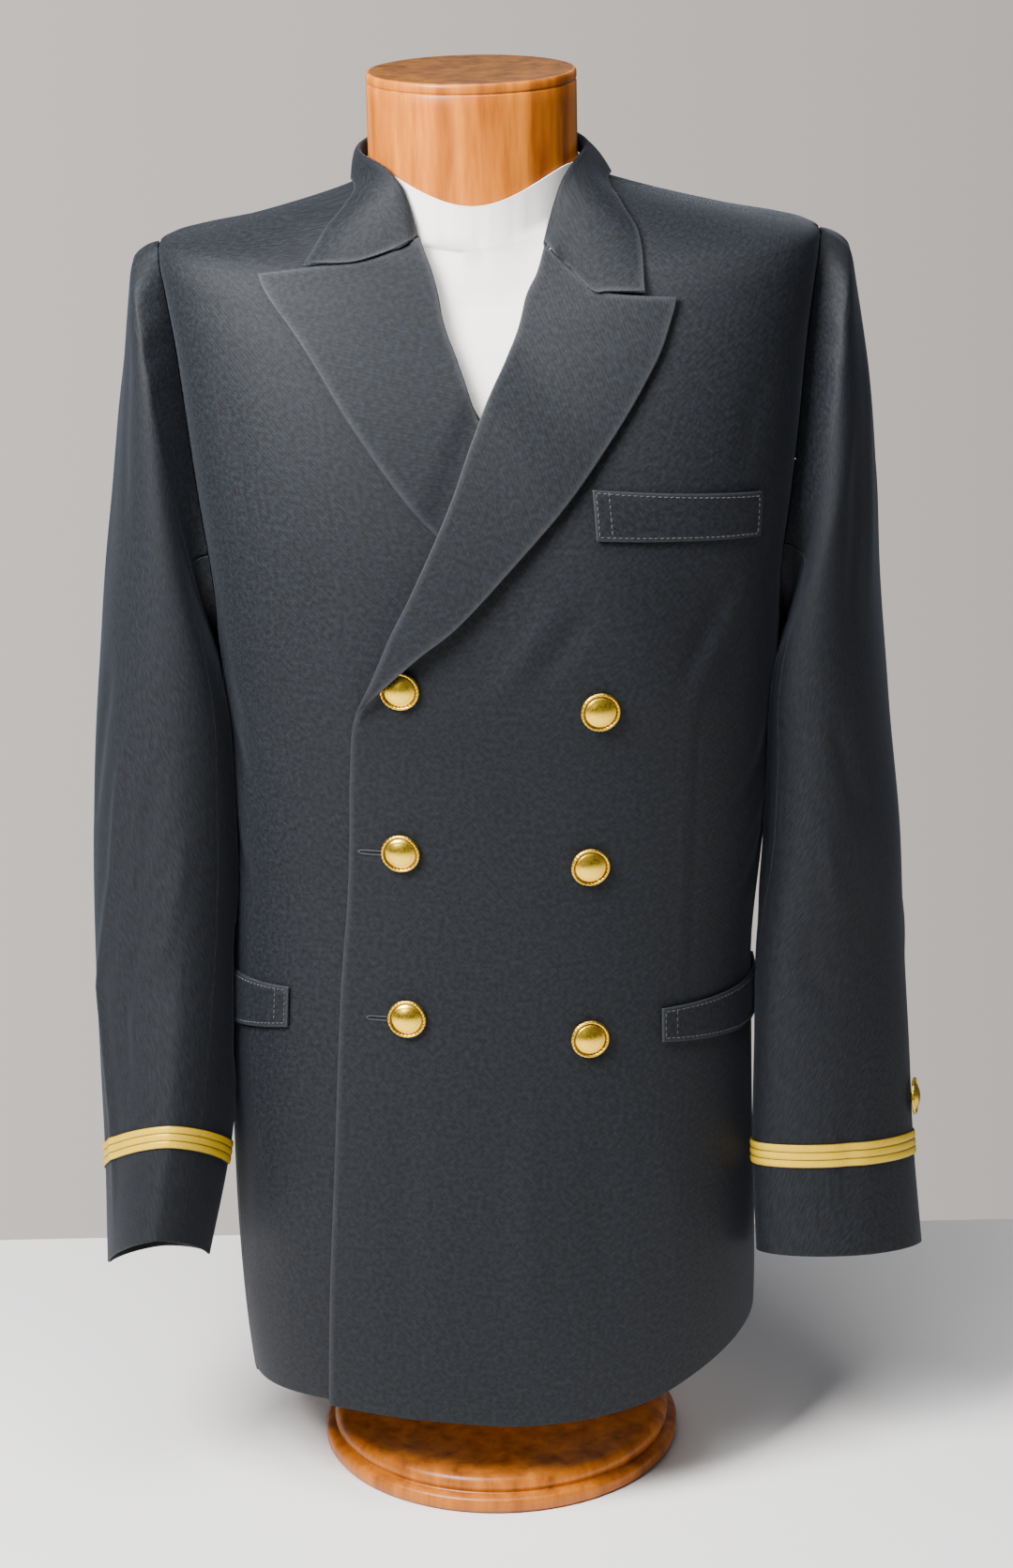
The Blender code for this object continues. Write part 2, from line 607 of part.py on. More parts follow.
def turned_object(name, profile, segments, material, home, axis=(0, 0, 1)):
    """A turned piece: its half profile, radius and height, spun round its axis."""
    bm = bmesh.new()
    rings = []
    for r, h in profile:
        if r == 0:
            rings.append([bm.verts.new((0, 0, h * MM))])
            continue
        ring = []
        for k in range(segments):
            a = 2 * math.pi * k / segments
            ring.append(bm.verts.new((r * MM * math.cos(a), r * MM * math.sin(a), h * MM)))
        rings.append(ring)
    for a, b in zip(rings, rings[1:]):
        for k in range(segments):
            m = (k + 1) % segments
            if len(a) == 1:
                bm.faces.new((a[0], b[m], b[k]))
            elif len(b) == 1:
                bm.faces.new((a[k], a[m], b[0]))
            else:
                bm.faces.new((a[k], a[m], b[m], b[k]))
    bmesh.ops.recalc_face_normals(bm, faces=bm.faces)
    mesh = bpy.data.meshes.new(name)
    bm.to_mesh(mesh)
    bm.free()
    obj = finish(name, mesh, material, home)
    obj.rotation_euler = Vector(axis).to_track_quat("Z", "Y").to_euler()
    return obj


def button(name, point, normal):
    """A domed button with a rim, on its shank."""
    r = BUTTON_R
    profile = (
        (0, 0.3), (2.2, 0.3), (2.2, 1.4), (r - 2.2, 1.4), (r, 2.4), (r - 0.8, 3.3),
        (r - 5.0, 5.2), (0, 6.1),
    )
    turned_object(name, profile, 16, "gilt", point, normal)


def welt_rows(ends, count, cols, lift_of):
    """Faces of a welt between its inner and outer end."""
    table = ends if ends[0][0] < ends[-1][0] else ends[::-1]
    angle = np.linspace(table[0][0], table[-1][0], cols)
    tops = np.interp(angle, [a[0] for a in table], [a[1] for a in table])
    lows = np.interp(angle, [a[0] for a in table], [a[2] for a in table])
    rows = []
    for share in np.linspace(0, 1, count):
        level = lows + (tops - lows) * share
        out = lift_of(angle, level) + 2.45 * LAYER + WELT
        rows.append(cloth_walls(angle, level, out, WELT))
    return rows


def torso_rings(segments):
    """Rings of the form's torso, just inside the jacket, up to the rim at the neck."""
    rings = []
    gaps = (
        (120, 12), (200, 12), (300, 11), (420, 9), (540, 9), (640, 8), (720, 6.5),
        (770, 6.2), (790, 6.4), (806, 5.8), (828, 5.8),
    )
    quarter = segments // 4
    for level in (120, 180, 260, 340, 420, 500, 580, 650, 710, 755, 782, 797, 804, 814, 828):
        gap = spline(gaps, level)[0]
        turns = [even_angles(k, k + 90, level, quarter + 1)[:-1] for k in (-180, -90, 0, 90)]
        turn = np.concatenate(turns)
        ahead = np.exp(-((turn / 15) ** 2)) * 6.0 * smooth((level - 795) / 45)
        rings.append(on_body(turn, np.full(segments, float(level)), -(gap - ahead)))
    turn = np.linspace(-180, 180, segments, endpoint=False)
    a = np.radians(turn)
    rise = 824 + 18 * smooth(np.abs(turn) / 62)
    seam = body(turn, np.full(segments, 850.0))[:, 2] / MM
    for r, z in ((65.2, seam - 12), (63.9, np.minimum(seam - 5, rise - 1)),
                 (63.8, rise), (BLOCK_R + 0.9, rise)):
        rings.append(np.stack([r * np.sin(a), -r * np.cos(a), z], axis=-1) * MM)
    r = BLOCK_R + 0.9
    low = np.full(segments, BLOCK_FOOT)
    rings.append(np.stack([r * np.sin(a), -r * np.cos(a), low], axis=-1) * MM)
    return rings


def torso_object(name, segments):
    rings = torso_rings(segments)
    home = np.array([0, 0, TORSO_FOOT * MM])
    bm = bmesh.new()
    made = [[bm.verts.new(p - home) for p in ring] for ring in rings]
    for a, b in zip(made, made[1:]):
        for k in range(segments):
            m = (k + 1) % segments
            bm.faces.new((a[k], a[m], b[m], b[k]))
    bm.faces.new(made[0])
    bm.faces.new(made[-1])
    bmesh.ops.recalc_face_normals(bm, faces=bm.faces)
    bmesh.ops.triangulate(bm, faces=bm.faces)
    mesh = bpy.data.meshes.new(name)
    bm.to_mesh(mesh)
    bm.free()
    return finish(name, mesh, "jersey", home)


def build():
    for old in list(bpy.data.objects):
        bpy.data.objects.remove(old)
    root = bpy.data.objects.new("jacket_and_form", None)
    bpy.context.scene.collection.objects.link(root)

    low = (62, 120, 185, 250, 310, 370, 425, 475, 512, 540, 568)
    front = low + (588, 608, 636, 668, 700, 728, 752, 772, 787, 797, 808, 822, 835, NECK_SEAM)
    back = low + (587, 608, 640, 680, 720, 755, 780, 797, 808, 822, 835, NECK_SEAM)
    wall_object("front_left", front_rows(1, front, 14), "serge")
    wall_object("front_right", front_rows(-1, front, 14), "serge")
    for side, name in ((1, "left"), (-1, "right")):
        wall_object("back_" + name, back_rows(side, back, 10), "serge")
        wall_object("side_" + name, side_rows(side, 13, 5), "serge")

    lapel = lapel_rows(LAPEL_OVER, NOTCH_OVER, over_lift, 15, 6)
    wall_object("lapel_left", lapel, "serge")
    lapel = lapel_rows(LAPEL_UNDER, NOTCH_UNDER, no_lift, 15, 6)
    wall_object("lapel_right", lapel, "serge")
    band_object("collar", collar_sections(np.linspace(0, 10, 25)), 1.6, "serge")

    rows = (0, 0.4, 0.8, 1.3, 2, 2.8, 3.6, 4.4, 5.2, 6, 6.8, 7.6, 8.4, 9.2, 9.89, 10.12, 11)
    for side, table, name in ((1, SLEEVE_LEFT, "left"), (-1, SLEEVE_RIGHT, "right")):
        tops, unders = sleeve_rows(side, table, rows, 13, 8)
        wall_object("top_sleeve_" + name, tops, "serge")
        wall_object("under_sleeve_" + name, unders, "serge")
        ends = ((-SLEEVE_FORE, 0, 7), (0, SLEEVE_BACK, 7), (SLEEVE_BACK, 360 - SLEEVE_FORE, 8))
        turns = [sleeve_angles(side, table, a, b, 10.0, n)[:-1] for a, b, n in ends]
        turns = np.concatenate(turns)
        braid_object("cuff_braid_" + name, side, table, turns)

    wall_object("breast_welt", welt_rows(BREAST_WELT, 3, 9, over_lift), "serge")
    wall_object("hip_welt_left", welt_rows(HIP_WELT_LEFT, 3, 11, over_lift), "serge")
    wall_object("hip_welt_right", welt_rows(HIP_WELT_RIGHT, 3, 11, no_lift), "serge")

    for name, angle, level in FRONT_BUTTONS:
        a, b = np.array(float(angle)), np.array(float(level))
        button(name, on_body(a, b, over_lift(a, b)), body_normal(a, b))
    for name, side, row, turn in SLEEVE_BUTTONS:
        table = SLEEVE_LEFT if side > 0 else SLEEVE_RIGHT
        a, b = np.array(float(row)), np.array(float(turn))
        button(name, sleeve(side, table, a, b), sleeve_normal(side, table, a, b))

    torso_object("form_torso", 28)
    block = (
        (0, BLOCK_FOOT + 0.3), (BLOCK_R, BLOCK_FOOT + 0.3), (BLOCK_R, BLOCK_TOP - 7),
        (BLOCK_R - 0.8, BLOCK_TOP - 6), (BLOCK_R, BLOCK_TOP - 5), (BLOCK_R, BLOCK_TOP - 1.5),
        (BLOCK_R - 1.5, BLOCK_TOP), (0, BLOCK_TOP),
    )
    turned_object("neck_block", [(r, h - BLOCK_FOOT) for r, h in block], 36, "wood",
                  (0, 0, BLOCK_FOOT * MM))
    turned_object("stand_post", ((0, BASE_H + 0.3), (19, BASE_H + 0.3),
                  (19, TORSO_FOOT - 0.3), (0, TORSO_FOOT - 0.3)), 24, "wood", (0, 0, 0))
    base = (
        (0, 0), (BASE_R - 3, 0), (BASE_R, 2.5), (BASE_R, 7.5), (BASE_R - 2.5, 10),
        (BASE_R - 7, 11), (BASE_R - 7, 12.5), (BASE_R - 6, 15), (BASE_R - 7.5, 19),
        (BASE_R - 11.5, BASE_H), (0, BASE_H),
    )
    turned_object("stand_base", base, 36, "wood", (0, 0, 0))


build()
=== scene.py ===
import math

import bmesh
import bpy
import numpy as np
from mathutils import Matrix, Vector


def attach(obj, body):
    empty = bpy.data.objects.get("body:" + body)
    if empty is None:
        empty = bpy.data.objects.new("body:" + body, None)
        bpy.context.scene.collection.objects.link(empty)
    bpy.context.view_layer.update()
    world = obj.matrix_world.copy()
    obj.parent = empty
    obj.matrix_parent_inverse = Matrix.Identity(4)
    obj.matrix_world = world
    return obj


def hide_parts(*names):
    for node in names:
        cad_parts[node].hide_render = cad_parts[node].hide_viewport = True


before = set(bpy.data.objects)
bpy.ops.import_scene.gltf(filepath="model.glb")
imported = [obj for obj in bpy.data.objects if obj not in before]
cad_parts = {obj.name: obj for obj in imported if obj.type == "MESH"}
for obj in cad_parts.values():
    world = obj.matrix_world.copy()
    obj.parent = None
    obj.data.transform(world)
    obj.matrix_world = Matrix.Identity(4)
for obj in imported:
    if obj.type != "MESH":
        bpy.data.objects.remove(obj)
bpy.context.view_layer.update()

MM = 0.001
CLOTH = 1.8        # wall of the cloth, with its canvas
WELT = 1.5
STITCH_INSET = 2.2     # line of stitches inside a welt's edge
TACK_INSET = 10.5      # second line, inside the welt's front end
LACE = 0.9
SEAM = 0.5         # gap between two pieces that are sewn edge to edge
LAYER = 0.45       # gap between a piece and the one that it lies on
NECK_SEAM = 848
SIDE_SEAM = 12     # each side seam lies this many degrees from the side
ARMHOLE_MID = 675
ARMHOLE_HALF = 122
SLEEVE_BACK = 105      # turn of the sleeve's back seam from the middle of its top
SLEEVE_FORE = 120      # turn of its front seam the other way
SLEEVE_CLEAR = 0.8     # gap that the sleeve keeps from the body, and below the welt
SLEEVE_CLEAR_LOW = 4.2
BLOCK_R = 62.0
BLOCK_FOOT = 800.0
BASE_R = 116.0
BASE_H = 22.0

# level, z at the side, z in front, z behind, half width, depth in front, depth behind,
# squareness of the outline, middle
BODY = (
    (40, 40, 40, 40, 160, 120, 118, 2.35, 1),
    (90, 90, 90, 90, 165, 121, 119, 2.35, 1),
    (150, 150, 150, 150, 167.0, 121, 119, 2.35, 0.0),
    (220, 220, 220, 220, 166.6, 120, 119, 2.35, -0.9),
    (290, 290, 290, 290, 165.6, 118, 116, 2.35, -0.6),
    (350, 350, 350, 350, 164, 116, 110, 2.35, 1.0),
    (410, 410, 410, 410, 165, 116, 105, 2.35, 6),
    (470, 470, 470, 470, 168, 119, 105, 2.4, 9),
    (530, 530, 530, 530, 170.5, 123, 109, 2.45, 9.5),
    (590, 590, 588, 592, 175, 125, 115, 2.55, 9),
    (650, 650, 640, 655, 181, 122, 119, 2.7, 9),
    (700, 700, 682, 708, 185.5, 115, 118, 2.75, 9),
    (740, 740, 715, 748, 189.5, 106, 112, 2.7, 8.7),
    (770, 770, 740, 778, 194, 96, 102, 2.6, 8.5),
    (790, 790, 760, 796, 196.5, 86, 91, 2.45, 8.5),
    (797, 797, 770, 800, 195.5, 80, 84, 2.35, 9),
    (810, 806, 782, 809, 155, 73, 76, 2.2, 10),
    (825, 816, 795, 817, 115, 67, 71, 2.1, 8),
    (840, 825, 806, 823, 85, 63, 68, 2.05, 6),
    (850, 830, 812, 827, 72, 62, 67, 2.0, 4),
)
# level, degrees that the armhole reaches forward and back of the side
ARMHOLE = (
    (553, 0, 0), (555, 4.6, 4.6), (560, 8.2, 8.0), (568, 11.4, 11.2), (578, 13.4, 13.2),
    (592, 14.6, 14.8), (612, 14.8, 15.4), (636, 13.9, 15.0), (660, 12.6, 14.2),
    (685, 11.2, 13.0), (712, 9.8, 11.7), (738, 8.6, 10.2), (764, 7.2, 8.3),
    (780, 5.8, 6.5), (790, 3.8, 4.2), (795, 1.9, 2.0), (797, 0, 0),
)
# angle, level of the hem
HEM = (
    (-180, 62), (-130, 57), (-90, 60), (-71, 65), (-48, 72), (-23, 70), (10, 66),
    (28, 69), (43, 76), (53, 85), (65, 93), (82, 98), (100, 93), (140, 74), (180, 62),
)
# level, angle of the edge of the wearer's left front: front edge, then roll line
EDGE_OVER = (
    (60, -47.6), (139, -45.5), (236, -43.0), (329, -41.9), (390, -41.6), (452, -40.4),
    (494, -39.3), (535, -36.3), (561, -31.2), (616, -21.6), (674, -12.4), (718, -6.2),
    (755, 1.1), (793, 12.6), (812, 21.5), (826, 31.0), (838, 43.0), (850, 54.0),
)
# level, angle of the edge of the wearer's right front, which lies under
EDGE_UNDER = (
    (60, 45.0), (236, 42.0), (390, 41.0), (494, 39.0), (535, 36.0), (561, 31.0),
    (616, 21.5), (674, 10.0), (705, 3.0), (732, -4.0), (760, -11.0), (782, -18.0),
    (802, -27.5), (816, -37.0), (828, -48.0), (838, -58.0), (850, -68.0),
)
# row, roll angle, roll level, edge angle, edge level, lift of the edge
LAPEL_OVER = (
    (0, -36.0, 537, -33.6, 543, 3.0),
    (1, -31.2, 561, -28.0, 558, 6.6),
    (2, -26.3, 590, -19.7, 577, 7.2),
    (3, -21.6, 616, -10.0, 596, 6.0),
    (4, -12.4, 674, 6.0, 638, 4.4),
    (5, -6.2, 718, 19.5, 674, 3.4),
    (6, 1.1, 755, 31.5, 710, 2.6),
    (7, 12.6, 793, 43.4, 748, 2.0),
    (8, 20.0, 811, 48.3, 766, 1.8),
    (9, 27.0, 826, 52.7, 783, 1.6),
)
LAPEL_UNDER = (
    (0, 36.0, 537, 34.0, 543, 0.3),
    (1, 31.0, 561, 27.0, 558, 0.8),
    (2, 21.5, 616, 12.0, 598, 1.1),
    (3, 10.0, 674, -5.0, 632, 0.9),
    (4, 2.6, 705, -14.8, 651, 1.2),
    (5, -4.6, 732, -24.7, 678, 1.6),
    (6, -9.6, 760, -37.3, 719, 2.0),
    (7, -15.6, 783, -48.0, 755, 2.0),
    (8, -25.2, 808, -55.5, 775, 1.8),
    (9, -32.5, 831, -63.2, 793, 1.6),
)
# share of the lapel's width where the collar meets it, and how far the gorge dips there
NOTCH_OVER = (0.34, -17.0)
NOTCH_UNDER = (0.55, -6.0)
# share of the way, angle, level of the gorge, where the collar's ends meet the lapels
GORGE_OVER = ((0, 47.4, 788.2), (0.60, 35.9, 793.8), (1, 27.6, 824.5))
GORGE_UNDER = ((0, -57.2, 798.6), (0.55, -49.2, 803.4), (1, -33.4, 829.2))
# station, angle and level of the collar's outer edge, then its fold line: angle round the
# neck, distance from the form's axis, height
COLLAR = (
    (0.0, 47.4, 788.2, 34.0, 75.0, 801.0),
    (0.6, 51.2, 802.0, 38.5, 72.4, 811.0),
    (1.2, 57.0, 817.0, 44.0, 70.5, 822.5),
    (2.0, 64.5, 834.0, 52.5, 69.0, 835.0),
    (3.0, 82.0, 847.5, 73.0, 68.2, 845.0),
    (4.0, 121.0, 841.0, 115.0, 70.0, 849.0),
    (5.0, 180.0, 831.0, 180.0, 73.5, 856.0),
    (6.0, 239.0, 841.0, 245.0, 70.0, 849.0),
    (7.0, 279.0, 847.5, 301.0, 68.2, 845.0),
    (8.0, 292.5, 834.0, 319.5, 68.8, 835.5),
    (8.8, 297.2, 818.5, 325.0, 68.8, 825.0),
    (9.4, 300.2, 808.0, 328.0, 69.0, 815.5),
    (10.0, 302.8, 798.6, 330.5, 69.4, 806.0),
)
# row, middle x, y, z, half thickness, half flat width, turn of the flat, lean of the
# ring, rise of the outer side over the inner one, roundness of the creases
SLEEVE_LEFT = (
    (0, 197.5, 2, 676.0, 16.5, 54, 0, 0, 120.0, 2.2),
    (1, 202.8, 3, 668.5, 20.2, 63, 0, 0, 116.5, 2.2),
    (2, 204.5, 4, 655.5, 23.1, 69, 0, 0, 107.5, 2.2),
    (3, 207.9, 3, 622.0, 28.5, 74, 4, 0, 84.0, 2.2),
    (4, 207.2, 1, 584.5, 33.4, 75, 8, 0, 62.5, 2.15),
    (5, 206.3, -1, 535.5, 36.3, 74, 10, 2, 40.5, 2.1),
    (6, 209.5, -3, 479.0, 40.0, 71, 12, 4, 19.0, 2.0),
    (7, 213.9, -7, 411.0, 42.3, 67, 21, 7, 6.0, 1.9),
    (8, 213.8, -14, 341.0, 40.8, 63, 38, 10, 1.0, 1.85),
    (9, 214.9, -23, 280.0, 38.3, 60, 50, 13, 0.0, 1.85),
    (10, 215.5, -33, 214.5, 36.0, 58, 61, 16, -1.5, 1.85),
    (11, 219.0, -43, 149.0, 35.0, 57, 69, 17, -2.5, 1.85),
)
SLEEVE_RIGHT = (
    (0, 184.5, 2, 676.0, 12.5, 54, 0, 0, 120.0, 2.2),
    (1, 184.0, 3, 668.5, 20.0, 63, 0, 0, 116.5, 2.2),
    (2, 185.3, 4, 655.5, 22.5, 69, 0, 0, 107.5, 2.2),
    (3, 188.0, 3, 622.0, 27.0, 74, 3, 0, 84.0, 2.2),
    (4, 190.0, 0, 584.5, 32.2, 75, 6, 1, 62.5, 2.15),
    (5, 192.3, -3, 535.5, 39.8, 73, 8, 3, 40.5, 2.05),
    (6, 195.5, -7, 479.0, 45.5, 69, 9, 6, 19.0, 1.9),
    (7, 198.3, -12, 411.0, 48.3, 65, 10, 12, 6.0, 1.75),
    (8, 201.1, -21, 341.0, 47.2, 61, 10, 19, 1.0, 1.65),
    (9, 203.3, -34, 283.0, 44.2, 58, 9, 28, 0.0, 1.6),
    (10, 206.9, -49, 224.0, 39.4, 55, 7, 34, -0.5, 1.6),
    (11, 214.4, -66, 160.0, 32.4, 53, 4, 35, -2.0, 1.6),
)
# inner end: angle, top level, bottom level, then the outer end's
BREAST_WELT = ((25.6, 680, 647), (62.0, 659, 631.5))
HIP_WELT_LEFT = ((46.0, 338, 316.5), (70.0, 334, 305), (93.0, 331, 300))
HIP_WELT_RIGHT = ((-55.5, 351, 325), (-78.0, 344, 309), (-97.0, 341, 303))
BRAID_ROWS = (9.89, 10.12)
FRONT_BUTTONS = (
    ("button_1_right", -25.5, 553), ("button_1_left", 25.6, 537),
    ("button_2_right", -27.6, 448), ("button_2_left", 24.9, 437),
    ("button_3_right", -24.3, 341), ("button_3_left", 27.6, 325),
)
SLEEVE_BUTTONS = (("button_cuff_left", 1, 9.56, 58.0), ("button_cuff_right", -1, 9.52, 70.0))


def spline(rows, t):
    """Smooth values of a short table's columns at t, which is its first column."""
    rows = np.asarray(rows, float)
    knot = rows[:, 0]
    value = rows[:, 1:]
    slope = np.gradient(value, knot, axis=0)
    t = np.clip(np.asarray(t, float), knot[0], knot[-1])
    i = np.clip(np.searchsorted(knot, t, side="right") - 1, 0, len(knot) - 2)
    h = (knot[i + 1] - knot[i])[..., None]
    s = (t - knot[i])[..., None] / h
    a, b = value[i], value[i + 1]
    ma, mb = slope[i] * h, slope[i + 1] * h
    out = a + s * ma + s * s * (3 * (b - a) - 2 * ma - mb)
    out = out + s * s * s * (2 * (a - b) + ma + mb)
    return np.moveaxis(out, -1, 0)


def smooth(t):
    t = np.clip(t, 0, 1)
    return t * t * (3 - 2 * t)


def body(angle, level):
    """Point of the jacket's outer face, in metres."""
    z_side, z_front, z_back, width, front, back, square, middle = spline(BODY, level)
    turn = np.radians(angle)
    c, s = np.cos(turn), np.sin(turn)
    depth = np.where(c > 0, front, back)
    reach = (np.abs(s) / width) ** square + (np.abs(c) / depth) ** square
    reach = reach ** (-1 / square)
    z = z_side + (np.where(c > 0, z_front, z_back) - z_side) * c * c
    return np.stack([middle + reach * s, -reach * c, z], axis=-1) * MM


def body_normal(angle, level):
    along = body(angle + 0.5, level) - body(angle - 0.5, level)
    up = body(angle, level + 1) - body(angle, level - 1)
    n = np.cross(along, up)
    return n / np.linalg.norm(n, axis=-1, keepdims=True)


def on_body(angle, level, out):
    """Point moved out from the jacket's face, creases included, by a number of millimetres."""
    out = np.asarray(out, float) + body_folds(angle, level)
    return body(angle, level) + body_normal(angle, level) * (out * MM)[..., None]


def hem(angle):
    turned = (np.asarray(angle, float) + 180) % 360 - 180
    return spline(HEM, turned)[0]


def seam_angle(level):
    """Half a seam's gap as an angle."""
    return np.degrees(SEAM / 2 / spline(BODY, level)[3])


def armhole_reach(level, ahead):
    """Degrees from the side to the armhole's edge at a level."""
    return np.maximum(spline(ARMHOLE, level)[0 if ahead else 1], 0)


def armhole_floor(reach, ahead):
    """Level of the armhole's lower edge, that many degrees from the side."""
    levels = np.linspace(ARMHOLE[0][0], ARMHOLE[5][0], 160)
    return np.interp(reach, armhole_reach(levels, ahead), levels)


def side_edge(level, ahead):
    """Degrees from the side where a front or back panel ends: seam, armhole, shoulder."""
    reach = float(armhole_reach(level, ahead))
    if level < armhole_floor(SIDE_SEAM, ahead):
        reach = SIDE_SEAM
    elif level < ARMHOLE_MID:
        reach = max(SIDE_SEAM, reach)
    return reach + float(seam_angle(level))


def over_lift(angle, level):
    """How far the wearer's left front stands off, where it laps over the right one."""
    under = spline(EDGE_UNDER, level)[0]
    lap = 1 - smooth((angle - under - 3) / 26)
    layers = 2.8 + 3.0 * smooth((level - 500) / 40)
    return lap * layers


def no_lift(angle, level):
    return 0 * angle * level


def even_angles(first, last, level, count):
    """Angles that part the body's outline at a level into equal lengths."""
    dense = np.linspace(first, last, 240)
    points = body(dense, np.full(240, float(level)))
    step = np.linalg.norm(np.diff(points, axis=0), axis=1)
    run = np.concatenate([[0], np.cumsum(step)])
    return np.interp(np.linspace(0, run[-1], count), run, dense)


def cloth_walls(angle, level, out, wall=CLOTH):
    """Outer and inner face of one row of a piece that follows the body."""
    return on_body(angle, level, out), on_body(angle, level, out - wall)


def lapel_rows(table, notch, lift_of, count, cols):
    """Faces of a lapel, moved out from the front that it lies on."""
    share = tight(cols, 0.01)
    rows = []
    last = table[-1][0]
    for k in last * tight(count, 0.004):
        ra, rl, ea, el, lift = spline(table, k)
        angle = ra + (ea - ra) * share
        level = rl + (el - rl) * share
        dip = np.interp(share, (0, notch[0], 1), (0, 1, 0)) * notch[1]
        level = level + dip * smooth((k / last - 0.72) / 0.28)
        stand = lift * (0.82 + 0.18 * share)
        if table[0][1] > 0:
            clear = spline(EDGE_OVER, level)[0] - angle
            stand = stand * smooth((clear - 1) / 8) + 0.25
        outer, inner = cloth_walls(angle, level, lift_of(angle, level) + LAYER + CLOTH + stand)
        if table[0][1] > 0:
            outer, inner = outer[::-1], inner[::-1]
        rows.append((outer, inner))
    return rows


def armhole(side, turn):
    """Point of the armhole's edge; turn 0 is the shoulder, 90 the front, 180 the armpit."""
    c, s = np.cos(np.radians(turn)), np.sin(np.radians(turn))
    level = ARMHOLE_MID + ARMHOLE_HALF * c
    reach = np.where(s > 0, armhole_reach(level, True), armhole_reach(level, False))
    reach = 0.98 * reach * np.where(s > 0, 1, -1)
    level = ARMHOLE_MID + (ARMHOLE_HALF - 0.8) * c
    return on_body(side * (90 - reach), level, 0.5 + 0 * reach)


def sleeve(side, table, row, turn):
    """Point of a sleeve's outer face. Turn 0 is its outer side, 90 its back crease."""
    row = np.asarray(row, float) + 0 * turn
    mx, my, mz, thin, flat, tau, lean, rise, power = spline(table, row)
    c, s = np.cos(np.radians(turn)), np.sin(np.radians(turn))
    size = (np.abs(c) ** power + np.abs(s) ** power) ** (-1 / power)
    across, along = c * size * thin, s * size * flat
    t = np.radians(tau)
    x = mx + across * np.cos(t) + along * np.sin(t)
    y = my - across * np.sin(t) + along * np.cos(t)
    ahead = y - my
    ahead = np.where(ahead > 0, ahead * (1.15 if side > 0 else 0.45), ahead)
    z = mz + c * size * rise - ahead * np.tan(np.radians(lean))
    ring = np.stack([side * x, y, z], axis=-1) * MM
    start = armhole(side, -turn)
    blend = smooth(row / 1.0)[..., None]
    return press(start + (ring - start) * blend, smooth((row - 0.5) / 1.2))


def press(point, weight):
    """Moves a sleeve's points out to where the body that they lie against lets them be."""
    level = np.clip(point[..., 2] / MM, 60, 780)
    middle = spline(BODY, level)[7] * MM
    x, y = point[..., 0] - middle, point[..., 1]
    reach = np.hypot(x, y)
    wall = body(np.degrees(np.arctan2(x, -y)), level)
    low = smooth((395 - level) / 30)
    low = low * smooth((level - 268) / 30)
    clear = SLEEVE_CLEAR + (SLEEVE_CLEAR_LOW - SLEEVE_CLEAR) * low
    least = np.hypot(wall[..., 0] - middle, wall[..., 1]) + clear * MM
    pushed = 0.5 * (reach + least + np.sqrt((reach - least) ** 2 + (1.2 * MM) ** 2))
    grow = 1 + (pushed / reach - 1) * weight
    moved = np.stack([middle + x * grow, y * grow, point[..., 2]], axis=-1)
    return moved


def sleeve_normal(side, table, row, turn):
    along = sleeve(side, table, row, turn + 2.0) - sleeve(side, table, row, turn - 2.0)
    down = sleeve(side, table, row + 0.02, turn) - sleeve(side, table, row - 0.02, turn)
    n = np.cross(down, along) * side
    return -n / np.linalg.norm(n, axis=-1, keepdims=True) * -1


def sleeve_angles(side, table, first, last, row, count):
    """Turns that part a sleeve's ring into equal lengths."""
    dense = np.linspace(first, last, 240)
    points = sleeve(side, table, row, dense)
    step = np.linalg.norm(np.diff(points, axis=0), axis=1)
    run = np.concatenate([[0], np.cumsum(step)])
    return np.interp(np.linspace(0, run[-1], count), run, dense)


def seam_turn(side, table, row, turn):
    """Half a seam's gap as a turn round the sleeve."""
    ends = sleeve(side, table, row, np.array([turn - 1.0, turn + 1.0]))
    return 2.0 * SEAM / np.linalg.norm(ends[1] - ends[0]) * MM


